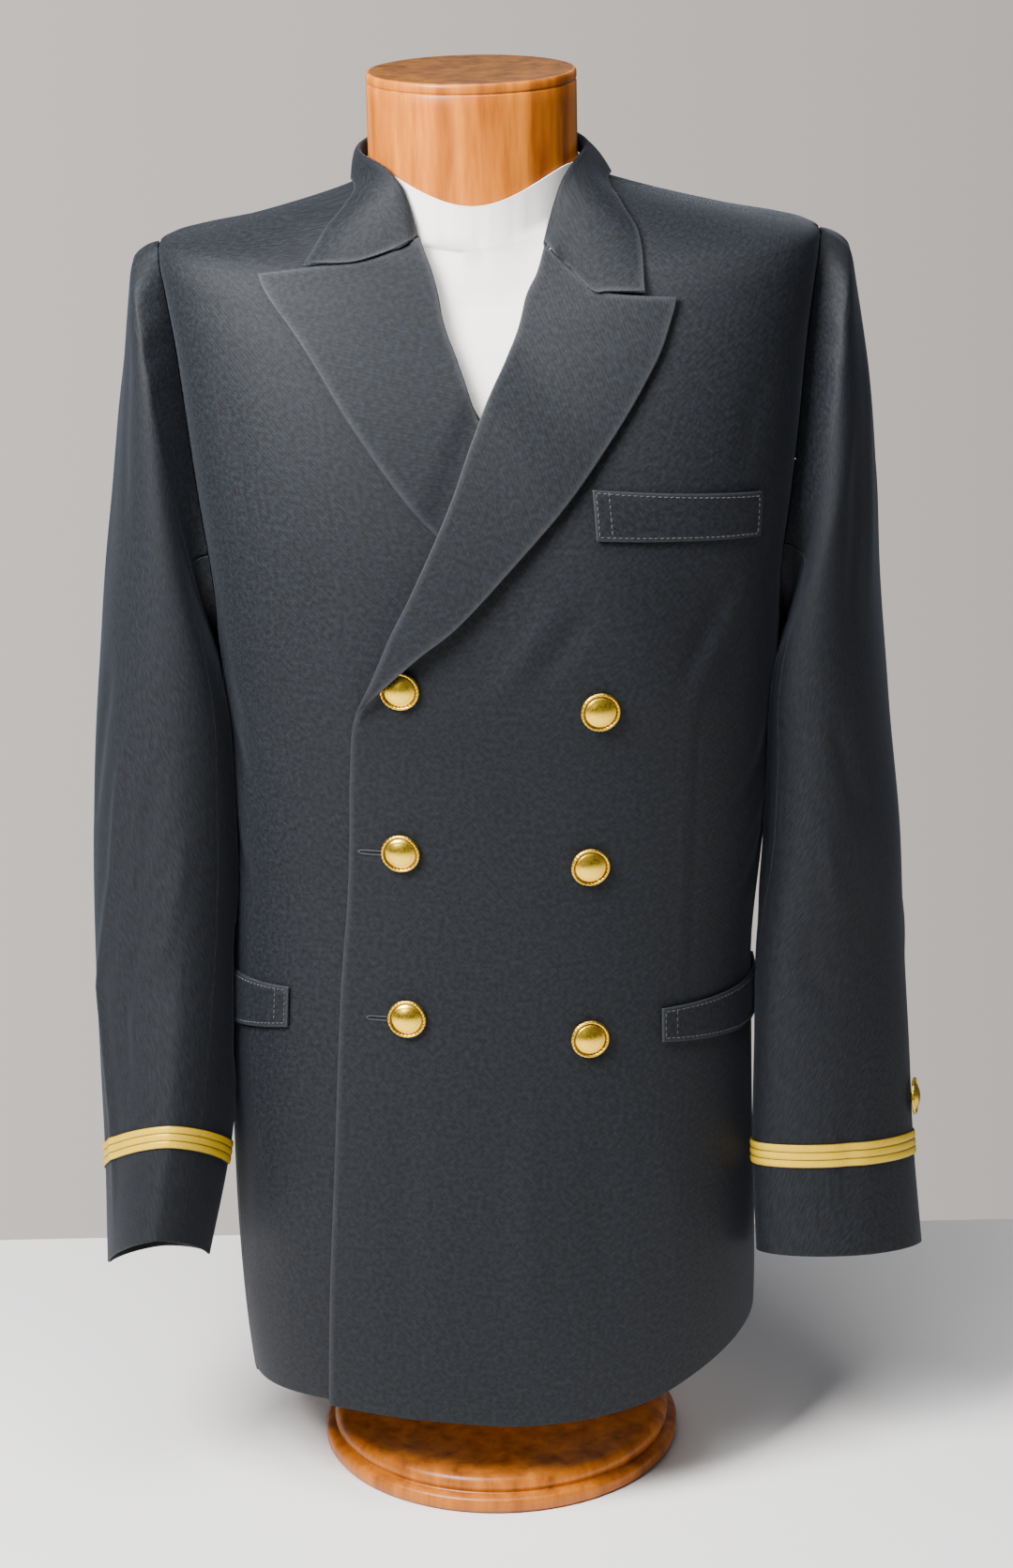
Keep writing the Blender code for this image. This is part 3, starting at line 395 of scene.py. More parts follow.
def collar_sections(stations):
    """Middle line of the collar across: outer edge, fall, fold, stand."""
    out = []
    for u in stations:
        ea, el, fa, fr, fz = spline(COLLAR, u)
        signed = (ea + 180) % 360 - 180
        lift = over_lift(signed, el) if 0 < signed < 60 else 0.0
        edge = on_body(ea, el, lift + LAYER + 1.6)
        turn = math.radians(fa)
        fold = np.array([fr * math.sin(turn), -fr * math.cos(turn), fz]) * MM
        outward = np.array([math.sin(turn), -math.cos(turn), 0.0])
        seam = body(fa, NECK_SEAM + 2.0)
        span = np.linalg.norm(edge - fold)
        belly = edge * 0.42 + fold * 0.58 + body_normal(ea, el) * span * 0.12
        line = []
        for v in (0, 0.2, 0.4, 0.6, 0.8, 0.93):
            line.append((1 - v) ** 2 * edge + 2 * v * (1 - v) * belly + v * v * fold)
        line.append(fold + np.array([0, 0, 1.3 * MM]) - outward * 1.2 * MM)
        inner = fold - outward * 2.4 * MM - np.array([0, 0, 1.0 * MM])
        reach = max(fz * MM - seam[2] - 2.0 * MM, 2.0 * MM)
        for v in (0.0, 0.5, 1.0):
            line.append(inner - np.array([0, 0, reach * v]) + outward * 1.2 * MM * v)
        line = np.array(line)
        for gorge, near in ((GORGE_OVER, u), (GORGE_UNDER, 10 - u)):
            weight = 1 - smooth(near / 1.4)
            if weight <= 0:
                continue
            table = np.array(gorge)
            v = np.array((0, 0.2, 0.4, 0.6, 0.8, 0.93))
            ga = np.interp(v, table[:, 0], table[:, 1])
            gl = np.interp(v, table[:, 0], table[:, 2])
            lay = (over_lift(ga, gl) if gorge is GORGE_OVER else 0) + LAYER + 4.9
            line[:6] = line[:6] * (1 - weight) + on_body(ga, gl, lay + 0 * ga) * weight
        out.append(line)
    return np.array(out)


def welt_rows(ends, count, cols, lift_of):
    """Faces of a welt between its inner and outer end."""
    table = ends if ends[0][0] < ends[-1][0] else ends[::-1]
    angle = table[0][0] + (table[-1][0] - table[0][0]) * tight(cols, 0.01)
    tops = np.interp(angle, [a[0] for a in table], [a[1] for a in table])
    lows = np.interp(angle, [a[0] for a in table], [a[2] for a in table])
    rows = []
    for share in tight(count, 0.03):
        level = lows + (tops - lows) * share
        out = lift_of(angle, level) + 2.45 * LAYER + WELT
        rows.append(cloth_walls(angle, level, out, WELT))
    return rows


def torso_rings(segments):
    """Rings of the form's torso, just inside the jacket, up to the rim at the neck."""
    rings = []
    gaps = (
        (120, 12), (200, 12), (300, 11), (420, 9), (540, 9), (640, 8), (720, 6.5),
        (770, 6.2), (790, 6.4), (806, 5.8), (828, 5.8),
    )
    quarter = segments // 4
    for level in (120, 180, 260, 340, 420, 500, 580, 650, 710, 755, 782, 797, 804, 814, 828):
        gap = spline(gaps, level)[0]
        turns = [even_angles(k, k + 90, level, quarter + 1)[:-1] for k in (-180, -90, 0, 90)]
        turn = np.concatenate(turns)
        ahead = np.exp(-((turn / 15) ** 2)) * 6.0 * smooth((level - 795) / 45)
        rings.append(on_body(turn, np.full(segments, float(level)), -(gap - ahead)))
    turn = np.linspace(-180, 180, segments, endpoint=False)
    a = np.radians(turn)
    rise = 824 + 18 * smooth(np.abs(turn) / 62)
    seam = body(turn, np.full(segments, 850.0))[:, 2] / MM
    for r, z in ((65.2, seam - 12), (63.9, np.minimum(seam - 5, rise - 1)),
                 (63.8, rise), (BLOCK_R + 0.9, rise)):
        rings.append(np.stack([r * np.sin(a), -r * np.cos(a), z], axis=-1) * MM)
    r = BLOCK_R + 0.9
    low = np.full(segments, BLOCK_FOOT)
    rings.append(np.stack([r * np.sin(a), -r * np.cos(a), low], axis=-1) * MM)
    return rings


# Creases of the body: width and height in millimetres (a trough is below 0), how much of
# its length fades at each end, then its path as angle, level
CREASES = (
    # the wearer's left front: dart, the fold over it, pull under the lapel, skirt
    (1.3, -0.75, 0.04, (50.2, 546), (49.6, 514), (49.8, 491), (52.2, 416), (54.0, 341)),
    (4.0, 0.45, 0.10, (47.4, 540), (46.8, 500), (48.2, 440), (51.0, 350)),
    (7.0, 1.9, 0.35, (63.0, 612), (55.0, 576), (48.5, 545), (46.0, 520)),
    (7.0, -1.5, 0.35, (57.0, 612), (50.0, 578), (44.0, 548)),
    (9.0, 1.2, 0.45, (20.0, 622), (12.0, 590), (2.0, 556), (-8.0, 528)),
    (8.0, -1.2, 0.45, (26.0, 610), (18.0, 580), (8.0, 548)),
    (10.0, -1.0, 0.40, (-6.0, 480), (8.0, 474), (21.0, 462)),
    (9.0, 0.8, 0.40, (-12.0, 428), (4.0, 420), (20.0, 424)),
    (14.0, 1.3, 0.40, (12.0, 300), (10.0, 220), (9.0, 140), (9.0, 80)),
    (16.0, -1.3, 0.40, (30.0, 300), (30.0, 220), (31.0, 150), (32.0, 85)),
    (13.0, 1.4, 0.40, (46.0, 290), (48.0, 210), (50.0, 140), (51.0, 90)),
    (12.0, -1.2, 0.35, (-24.0, 320), (-25.0, 240), (-26.0, 160), (-26.0, 90)),
    (8.0, -1.3, 0.35, (80.0, 520), (70.0, 476), (58.0, 446)),
    (7.0, 1.0, 0.35, (82.0, 488), (74.0, 452), (63.0, 424)),
    (8.0, -1.1, 0.35, (84.0, 440), (76.0, 410), (66.0, 392)),
    (7.0, -0.9, 0.40, (66.0, 742), (60.0, 700), (58.0, 664)),
    # the wearer's right front
    (1.0, 0.55, 0.08, (-43.0, 751), (-37.0, 733), (-29.5, 712), (-22.5, 688), (-17.5, 668)),
    (1.3, -0.55, 0.05, (-52.5, 540), (-52.0, 500), (-52.0, 430), (-53.5, 350)),
    (8.0, 1.3, 0.40, (-72.0, 560), (-64.0, 512), (-56.0, 470)),
    (8.0, -1.3, 0.40, (-78.0, 530), (-70.0, 480), (-60.0, 446)),
    (7.0, -1.0, 0.40, (-82.0, 452), (-74.0, 420), (-64.0, 402)),
    (10.0, -1.1, 0.45, (-44.0, 650), (-44.0, 590), (-42.0, 530)),
    (14.0, 1.2, 0.40, (-60.0, 300), (-60.0, 220), (-61.0, 140)),
    (14.0, -1.2, 0.40, (-72.0, 300), (-73.0, 220), (-74.0, 120)),
    (9.0, -1.0, 0.45, (-64.0, 742), (-60.0, 690), (-60.0, 640)),
    # the back: shoulder blades, waist, skirt
    (12.0, 1.2, 0.40, (136.0, 720), (140.0, 660), (146.0, 590)),
    (12.0, -1.2, 0.40, (152.0, 700), (154.0, 630), (158.0, 560)),
    (12.0, 1.1, 0.40, (-138.0, 716), (-142.0, 650), (-148.0, 586)),
    (12.0, -1.1, 0.40, (-154.0, 704), (-156.0, 636), (-160.0, 566)),
    (8.0, -1.4, 0.40, (176.0, 448), (160.0, 440), (142.0, 452)),
    (8.0, 1.1, 0.40, (174.0, 424), (158.0, 414), (140.0, 424)),
    (8.0, -1.3, 0.40, (-176.0, 440), (-160.0, 430), (-140.0, 444)),
    (8.0, 1.0, 0.40, (-172.0, 416), (-158.0, 408), (-144.0, 416)),
    (8.0, -1.2, 0.35, (104.0, 470), (118.0, 446), (132.0, 436)),
    (8.0, -1.2, 0.35, (-104.0, 474), (-117.0, 448), (-130.0, 438)),
    (15.0, 2.0, 0.40, (164.0, 330), (163.0, 230), (162.0, 130), (162.0, 66)),
    (15.0, -1.6, 0.40, (148.0, 320), (147.0, 220), (146.0, 130), (146.0, 66)),
    (15.0, 1.8, 0.40, (130.0, 310), (129.0, 210), (128.0, 130), (128.0, 70)),
    (15.0, 1.9, 0.40, (-160.0, 330), (-161.0, 230), (-162.0, 130), (-162.0, 66)),
    (15.0, -1.6, 0.40, (-145.0, 320), (-146.0, 220), (-147.0, 130), (-147.0, 66)),
    (15.0, 1.7, 0.40, (-127.0, 310), (-128.0, 210), (-128.0, 130), (-128.0, 70)),
)
DEGREE = 2.85      # millimetres round the body for a degree


def crease_field(creases, scale, x, y):
    """Sum of the creases' heights at points of the cloth, in millimetres."""
    x, y = np.broadcast_arrays(np.asarray(x, float), np.asarray(y, float))
    total = np.zeros(x.shape)
    for width, height, fade, *path in creases:
        path = np.array(path, float) * np.array([scale[0], scale[1]])
        run = np.concatenate([[0], np.cumsum(np.linalg.norm(np.diff(path, axis=0), axis=1))])
        low, high = path.min(axis=0) - 3 * width, path.max(axis=0) + 3 * width
        px, py = x * scale[0], y * scale[1]
        near = (px > low[0]) & (px < high[0]) & (py > low[1]) & (py < high[1])
        if not near.any():
            continue
        px, py = px[near], py[near]
        best = np.full(px.shape, 1e9)
        share = np.zeros(px.shape)
        for a, b, s in zip(path, path[1:], run):
            along = b - a
            length = float(np.hypot(*along))
            t = ((px - a[0]) * along[0] + (py - a[1]) * along[1]) / length ** 2
            t = np.clip(t, 0, 1)
            gap = np.hypot(px - a[0] - t * along[0], py - a[1] - t * along[1])
            closer = gap < best
            best = np.where(closer, gap, best)
            share = np.where(closer, (s + t * length) / run[-1], share)
        ends = smooth(share / fade) * smooth((1 - share) / fade)
        total[near] += height * np.exp(-((best / width) ** 2)) * ends
    return total


def body_folds(angle, level):
    turned = (np.asarray(angle, float) + 180) % 360 - 180
    return crease_field(CREASES, (DEGREE, 1.0), turned, level)


# Creases of the sleeves, as for the body, with the path as turn, row
SLEEVE_CREASES_RIGHT = (
    (5.5, 2.3, 0.25, (-62, 5.2), (-40, 6.4), (-32, 7.2), (-8, 8.2), (-22, 9.7), (-26, 11.0)),
    (7.0, -2.4, 0.25, (-82, 5.6), (-62, 6.8), (-54, 7.8), (-40, 8.6), (-46, 9.8)),
    (7.0, -1.8, 0.30, (-30, 5.2), (-14, 6.2), (0, 6.9)),
    (6.0, 1.4, 0.30, (-96, 6.6), (-84, 7.4), (-70, 8.2)),
    (9.0, 1.5, 0.35, (10, 2.2), (2, 4.0), (6, 5.6)),
    (8.0, -1.2, 0.35, (-34, 1.8), (-30, 3.2), (-34, 4.4)),
    (8.0, -1.5, 0.35, (50, 3.0), (38, 4.6), (44, 6.2)),
    (7.0, 1.6, 0.35, (72, 6.0), (56, 6.8), (40, 7.4)),
    (7.0, -1.6, 0.35, (80, 7.0), (62, 7.6), (44, 8.0)),
    (8.0, 1.6, 0.35, (150, 5.6), (176, 6.4), (205, 6.9)),
    (8.0, -1.6, 0.35, (142, 6.4), (170, 7.2), (205, 7.8)),
)
SLEEVE_CREASES_LEFT = (
    (8.0, 1.5, 0.35, (-20, 1.9), (-24, 3.6), (-18, 5.4)),
    (8.0, -1.3, 0.35, (-50, 2.4), (-46, 4.0), (-52, 5.6)),
    (8.0, 1.5, 0.35, (28, 3.2), (18, 5.0), (24, 6.6)),
    (7.0, -1.7, 0.30, (-72, 5.6), (-52, 6.4), (-32, 6.9)),
    (7.0, 1.6, 0.30, (-78, 6.6), (-56, 7.3), (-34, 7.7)),
    (7.0, -1.4, 0.30, (-74, 7.6), (-52, 8.2), (-30, 8.4)),
    (8.0, -1.3, 0.35, (58, 5.6), (44, 6.4), (30, 6.9)),
    (8.0, 1.2, 0.35, (66, 7.0), (50, 7.7), (34, 8.2)),
    (8.0, 1.5, 0.35, (150, 5.6), (176, 6.4), (205, 6.9)),
    (8.0, -1.5, 0.35, (142, 6.4), (170, 7.2), (205, 7.8)),
    (8.0, -1.0, 0.35, (-8, 8.6), (-12, 9.8), (-10, 11.0)),
)


def sleeve_folds(side, row, turn):
    """Creases of a sleeve and the small puckers along its head."""
    creases = SLEEVE_CREASES_LEFT if side > 0 else SLEEVE_CREASES_RIGHT
    wrapped = (np.asarray(turn, float) + 125) % 360 - 125
    folds = crease_field(creases, (1.05, 48.0), wrapped, row)
    head = np.exp(-((np.asarray(row, float) - 0.75) / 0.55) ** 2) * smooth(1.3 - np.abs(wrapped) / 80)
    pucker = np.sin(wrapped * 0.36 + 0.9 * np.sin(wrapped * 0.11))
    return folds + 0.55 * head * pucker


def warm_sleeve(side, table, row, turn):
    """Point of a sleeve's outer face with its creases."""
    point = sleeve(side, table, row, turn)
    lift = sleeve_folds(side, row, turn) * smooth((np.asarray(row, float) - 0.05) / 0.4)
    return point + sleeve_normal(side, table, row, turn) * (lift * MM)[..., None]


def tight(count, edge=0.0025):
    """Shares from 0 to 1 with a close pair at each end, for a pressed edge."""
    return np.concatenate([[0, edge], np.linspace(2.2 * edge, 1 - 2.2 * edge, count), [1 - edge, 1]])


def lengths(points, axis):
    step = np.linalg.norm(np.diff(points, axis=axis), axis=-1)
    zero = np.zeros_like(np.take(step, [0], axis=axis))
    return np.concatenate([zero, np.cumsum(step, axis=axis)], axis=axis)


def mesh_piece(name, vertices, faces, uv=None, values=None, smooth_all=True):
    mesh = bpy.data.meshes.new(name)
    mesh.from_pydata(vertices.tolist(), [], faces)
    mesh.update()
    if uv is not None:
        layer = mesh.uv_layers.new(name="cloth")
        index = np.zeros(len(mesh.loops), np.int32)
        mesh.loops.foreach_get("vertex_index", index)
        layer.data.foreach_set("uv", uv[index].astype(np.float32).ravel())
    if values is not None:
        data = mesh.attributes.new("rim", "FLOAT", "POINT")
        data.data.foreach_set("value", values.astype(np.float32))
    if smooth_all:
        mesh.shade_smooth()
    obj = bpy.data.objects.new(name, mesh)
    bpy.context.scene.collection.objects.link(obj)
    return obj


def grid_faces(rows, cols, start=0, flip=False, wrap=False):
    out = []
    last = cols if wrap else cols - 1
    for i in range(rows - 1):
        for j in range(last):
            k = (j + 1) % cols
            a, b = start + i * cols + j, start + i * cols + k
            c, d = start + (i + 1) * cols + k, start + (i + 1) * cols + j
            out.append((a, d, c, b) if flip else (a, b, c, d))
    return out


def rim_ring(rows, cols):
    ring = [(0, j) for j in range(cols)] + [(i, cols - 1) for i in range(1, rows)]
    ring += [(rows - 1, j) for j in range(cols - 2, -1, -1)]
    return ring + [(i, 0) for i in range(rows - 2, 0, -1)]


def cloth(name, outer, inner, material, node=None, free=0.0, front=0):
    """Thin shell from grids of its outer and inner face, with a turned edge all round.

    free is how strongly the open edges get a painted highlight; front names a side that is open, which gets
    the same painted highlight.
    """
    rows, cols = outer.shape[:2]
    count = rows * cols
    ring = rim_ring(rows, cols)
    number = [i * cols + j for i, j in ring]
    flat_out, flat_in = outer.reshape(-1, 3), inner.reshape(-1, 3)
    middle = (flat_out[number] + flat_in[number]) / 2
    inward = [(min(max(i, 1), rows - 2), min(max(j, 1), cols - 2)) for i, j in ring]
    away = middle - np.array([(outer[i, j] + inner[i, j]) / 2 for i, j in inward])
    away = away / np.maximum(np.linalg.norm(away, axis=1, keepdims=True), 1e-9)
    wall = np.linalg.norm(flat_out[number] - flat_in[number], axis=1)[:, None]
    middle = middle + away * wall * 0.14
    facing = np.cross(outer[rows // 2, cols // 2 + 1] - outer[rows // 2, cols // 2],
                      outer[rows // 2 + 1, cols // 2] - outer[rows // 2, cols // 2])
    flip = np.dot(facing, outer[rows // 2, cols // 2] - inner[rows // 2, cols // 2]) < 0
    faces = grid_faces(rows, cols, 0, flip) + grid_faces(rows, cols, count, not flip)
    for k in range(len(ring)):
        m = (k + 1) % len(ring)
        a, b, c, d = number[k], number[m], 2 * count + m, 2 * count + k
        e, f = count + number[m], count + number[k]
        if flip:
            faces += [(a, b, c, d), (d, c, e, f)]
        else:
            faces += [(a, d, c, b), (d, f, e, c)]
    across, down = lengths(outer, 1), lengths(outer, 0)
    uv = np.stack([across, down + np.zeros_like(across)], axis=-1).reshape(-1, 2)
    uv = np.concatenate([uv, uv, uv[number]])
    near = np.minimum(np.minimum(across, across[:, -1:] - across),
                      np.minimum(down, down[-1:] - down)).reshape(-1) / MM
    # rim: painted highlight along the open edges, fading within a few millimetres of them
    rim = free * np.exp(-((near / 2.2) ** 2))
    if front:
        open_side = across if front < 0 else across[:, -1:] - across
        rim = np.maximum(rim, np.exp(-((open_side.reshape(-1) / MM / 2.0) ** 2)))
    rim = np.concatenate([rim, rim * 0, rim[number]])
    made = mesh_piece(name, np.concatenate([flat_out, flat_in, middle]), faces, uv, rim)
    made.data.materials.append(material)
    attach(made, "root")
    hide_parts(node or name)
    return made


def stack(rows):
    return np.array([r[0] for r in rows]), np.array([r[1] for r in rows])


def thread(name, path, normals, material, length=2.3, gap=1.3, size=0.32):
    """A row of stitches along a path that lies on the cloth."""
    run = lengths(path, 0)
    total = run[-1] / MM
    count = max(int(total / (length + gap)), 1)
    vertices, faces = [], []
    for k in range(count):
        start = (k + 0.5) * total / count - length / 2
        marks = start + np.array([0, 0.12, 0.5, 0.88, 1]) * length
        spine = np.stack([np.interp(marks * MM, run, path[:, c]) for c in range(3)], axis=-1)
        up = np.stack([np.interp(marks * MM, run, normals[:, c]) for c in range(3)], axis=-1)
        rise = np.array([-0.5, 0.45, 0.75, 0.45, -0.5]) * size
        spine = spine + up * (rise * MM)[:, None]
        along = np.gradient(spine, axis=0)
        along /= np.linalg.norm(along, axis=1, keepdims=True)
        side = np.cross(along, up)
        thick = np.array([0.35, 0.9, 1.0, 0.9, 0.35]) * size * MM
        base = len(vertices)
        for p, s, u, t in zip(spine, side, up, thick):
            for turn in range(6):
                a = math.pi / 3 * turn
                vertices.append(p + s * t * math.cos(a) + u * t * math.sin(a) * 0.8)
        for i in range(4):
            for j in range(6):
                m = (j + 1) % 6
                faces.append((base + i * 6 + j, base + i * 6 + m, base + i * 6 + 6 + m,
                              base + i * 6 + 6 + j))
        faces.append(tuple(base + 5 - j for j in range(6)))
        faces.append(tuple(base + 24 + j for j in range(6)))
    made = mesh_piece(name, np.array(vertices), faces)
    made.data.materials.append(material)
    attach(made, "root")
    return made


def stitches(name, path, lift_of, material, extra=0.0, **kind):
    """Stitches on the body along points given as angle, level."""
    path = np.array(path, float)
    step = np.hypot(np.diff(path[:, 0]) * DEGREE, np.diff(path[:, 1]))
    run = np.concatenate([[0], np.cumsum(step)])
    marks = np.linspace(0, run[-1], max(int(run[-1] / 1.5), 2))
    angle, level = np.interp(marks, run, path[:, 0]), np.interp(marks, run, path[:, 1])
    points = on_body(angle, level, lift_of(angle, level) + extra)
    return thread(name, points, body_normal(angle, level), material, **kind)


# Materials


class Nodes:
    """Short names for making a material's nodes."""

    def __init__(self, name):
        self.material = bpy.data.materials.new(name)
        self.material.use_nodes = True
        self.tree = self.material.node_tree
        self.shader = self.tree.nodes["Principled BSDF"]

    def add(self, kind, **values):
        node = self.tree.nodes.new(kind)
        for key, value in values.items():
            if hasattr(node, key):
                setattr(node, key, value)
            else:
                node.inputs[key.replace("_", " ")].default_value = value
        return node

    def link(self, a, b):
        self.tree.links.new(a, b)

    def set(self, **values):
        for key, value in values.items():
            self.shader.inputs[key.replace("_", " ")].default_value = value

    def mix(self, factor, low, high, blend="MIX"):
        node = self.add("ShaderNodeMix", data_type="RGBA", blend_type=blend)
        for index, value in ((0, factor), (6, low), (7, high)):
            if hasattr(value, "is_output"):
                self.link(value, node.inputs[index])
            else:
                node.inputs[index].default_value = value
        return node.outputs[2]

    def math(self, operation, a, b=0.0):
        node = self.add("ShaderNodeMath", operation=operation)
        for index, value in ((0, a), (1, b)):
            if hasattr(value, "is_output"):
                self.link(value, node.inputs[index])
            else:
                node.inputs[index].default_value = value
        return node.outputs[0]

    def scaled(self, source, low, high):
        node = self.add("ShaderNodeMapRange")
        self.link(source, node.inputs["Value"])
        node.inputs["To Min"].default_value = low
        node.inputs["To Max"].default_value = high
        return node.outputs["Result"]

    def bump(self, height, distance, strength=1.0, before=None):
        node = self.add("ShaderNodeBump", Strength=strength, Distance=distance)
        self.link(height, node.inputs["Height"])
        if before is not None:
            self.link(before, node.inputs["Normal"])
        return node.outputs["Normal"]


def serge_material():
    """Fine black wool: crossing yarns, slubs, a soft nap, and a painted highlight along the open edges,
    which are also a little smoother.
    """
    n = Nodes("serge_wool")
    cloth_uv = n.add("ShaderNodeUVMap", uv_map="cloth").outputs["UV"]
    place = n.add("ShaderNodeTexCoord").outputs["Object"]
    warp = n.add("ShaderNodeTexWave", bands_direction="X", Scale=310.0, Distortion=0.6)
    weft = n.add("ShaderNodeTexWave", bands_direction="Y", Scale=310.0, Distortion=0.6)
    twill = n.add("ShaderNodeTexWave", bands_direction="DIAGONAL", Scale=190.0, Distortion=0.4)
    slub = n.add("ShaderNodeTexNoise", Scale=420.0, Detail=3.0)
    nap = n.add("ShaderNodeTexNoise", Scale=1500.0, Detail=2.0)
    tone = n.add("ShaderNodeTexNoise", Scale=9.0, Detail=4.0)
    fleck = n.add("ShaderNodeTexNoise", Scale=330.0, Detail=2.0, Roughness=0.6)
    for node in (warp, weft, twill, slub, fleck):
        n.link(cloth_uv, node.inputs["Vector"])
    for node in (nap, tone):
        n.link(place, node.inputs["Vector"])
    yarn = n.math("MULTIPLY", warp.outputs["Fac"], weft.outputs["Fac"])
    yarn = n.math("ADD", n.math("MULTIPLY", yarn, 0.6), n.math("MULTIPLY", twill.outputs["Fac"], 0.4))
    deep, pale = (0.0016, 0.0026, 0.0042, 1), (0.0068, 0.0092, 0.0138, 1)
    colour = n.mix(n.scaled(yarn, 0.2, 0.8), deep, pale)
    slubs = n.mix(n.scaled(slub.outputs["Fac"], -0.4, 1.1), (0.7, 0.7, 0.72, 1), (1.3, 1.3, 1.28, 1))
    colour = n.mix(1.0, colour, slubs, "MULTIPLY")
    tones = n.mix(tone.outputs["Fac"], (0.88, 0.88, 0.90, 1), (1.12, 1.12, 1.10, 1))
    colour = n.mix(1.0, colour, tones, "MULTIPLY")
    flecks = n.mix(n.scaled(fleck.outputs["Fac"], -1.2, 2.0), (0.30, 0.30, 0.32, 1), (1.90, 1.90, 1.84, 1))
    colour = n.mix(1.0, colour, flecks, "MULTIPLY")
    rim = n.add("ShaderNodeAttribute", attribute_name="rim").outputs["Fac"]
    # Painted highlight: the open edges are painted lighter, as where they catch the light.
    colour = n.mix(n.math("MULTIPLY", rim, 0.35), colour, (0.040, 0.043, 0.050, 1))
    n.link(colour, n.shader.inputs["Base Color"])
    rough = n.math("SUBTRACT", n.scaled(slub.outputs["Fac"], 0.62, 0.78), n.math("MULTIPLY", rim, 0.10))
    n.link(rough, n.shader.inputs["Roughness"])
    fine = n.math("ADD", n.math("MULTIPLY", yarn, 0.7), n.math("MULTIPLY", nap.outputs["Fac"], 0.3))
    n.link(n.bump(fine, 0.00014, 0.9), n.shader.inputs["Normal"])
    n.set(Sheen_Weight=0.06, Sheen_Roughness=0.35, Specular_IOR_Level=0.26)
    n.shader.inputs["Sheen Tint"].default_value = (0.72, 0.80, 1.0, 1)
    return n.material


def plain_material(name, colour, rough, metal=0.0, noise=400.0, depth=0.00004, spread=0.12, **more):
    """One colour with a fine grain of tone, roughness and relief."""
    n = Nodes(name)
    place = n.add("ShaderNodeTexCoord").outputs["Object"]
    grain = n.add("ShaderNodeTexNoise", Scale=noise, Detail=4.0)
    n.link(place, grain.inputs["Vector"])
    low = (*[c * (1 - spread) for c in colour], 1)
    high = (*[min(c * (1 + spread), 1.0) for c in colour], 1)
    n.link(n.mix(grain.outputs["Fac"], low, high), n.shader.inputs["Base Color"])
    n.link(n.scaled(grain.outputs["Fac"], rough * 0.8, rough * 1.2), n.shader.inputs["Roughness"])
    n.link(n.bump(grain.outputs["Fac"], depth), n.shader.inputs["Normal"])
    n.set(Metallic=metal, **more)
    return n.material


def gilt_material():
    """Bright gilt with a duller, darker tone down in the rope of the rim."""
    n = Nodes("gilt")
    place = n.add("ShaderNodeTexCoord").outputs["Object"]
    mottle = n.add("ShaderNodeTexNoise", Scale=600.0, Detail=3.0)
    brush = n.add("ShaderNodeTexNoise", Scale=2600.0, Detail=2.0)
    n.link(place, mottle.inputs["Vector"])
    n.link(place, brush.inputs["Vector"])
    low = n.add("ShaderNodeAttribute", attribute_name="rim").outputs["Fac"]
    colour = n.mix(mottle.outputs["Fac"], (0.88, 0.50, 0.03, 1), (1.0, 0.72, 0.07, 1))
    colour = n.mix(low, colour, (0.16, 0.075, 0.012, 1))
    n.link(colour, n.shader.inputs["Base Color"])
    n.link(n.math("ADD", n.scaled(mottle.outputs["Fac"], 0.20, 0.34), n.math("MULTIPLY", low, 0.2)),
           n.shader.inputs["Roughness"])
    n.link(n.bump(brush.outputs["Fac"], 0.00002, 0.6), n.shader.inputs["Normal"])
    n.set(Metallic=1.0)
    return n.material


def lace_material():
    """Gold lace: wire-wound ridges along the band, with a fine cross weave."""
    n = Nodes("gold_lace")
    cloth_uv = n.add("ShaderNodeUVMap", uv_map="cloth").outputs["UV"]
    cross = n.add("ShaderNodeTexWave", bands_direction="X", Scale=330.0, Distortion=1.2)
    weave = n.add("ShaderNodeTexNoise", Scale=1400.0, Detail=2.0)
    tone = n.add("ShaderNodeTexNoise", Scale=60.0, Detail=3.0)
    for node in (cross, weave, tone):
        n.link(cloth_uv, node.inputs["Vector"])
    groove = n.add("ShaderNodeAttribute", attribute_name="rim").outputs["Fac"]
    colour = n.mix(cross.outputs["Fac"], (0.58, 0.34, 0.006, 1), (0.92, 0.64, 0.018, 1))
    tones = n.mix(tone.outputs["Fac"], (0.86, 0.84, 0.80, 1), (1.1, 1.1, 1.08, 1))
    colour = n.mix(1.0, colour, tones, "MULTIPLY")
    colour = n.mix(groove, colour, (0.055, 0.026, 0.006, 1))
    n.link(colour, n.shader.inputs["Base Color"])
    n.link(n.scaled(weave.outputs["Fac"], 0.36, 0.52), n.shader.inputs["Roughness"])
    wires = n.math("MULTIPLY", cross.outputs["Fac"], 0.7)
    high = n.math("ADD", wires, n.math("MULTIPLY", weave.outputs["Fac"], 0.3))
    n.link(n.bump(high, 0.00012, 0.8), n.shader.inputs["Normal"])
    n.set(Metallic=0.30, Specular_IOR_Level=0.35)
    return n.material


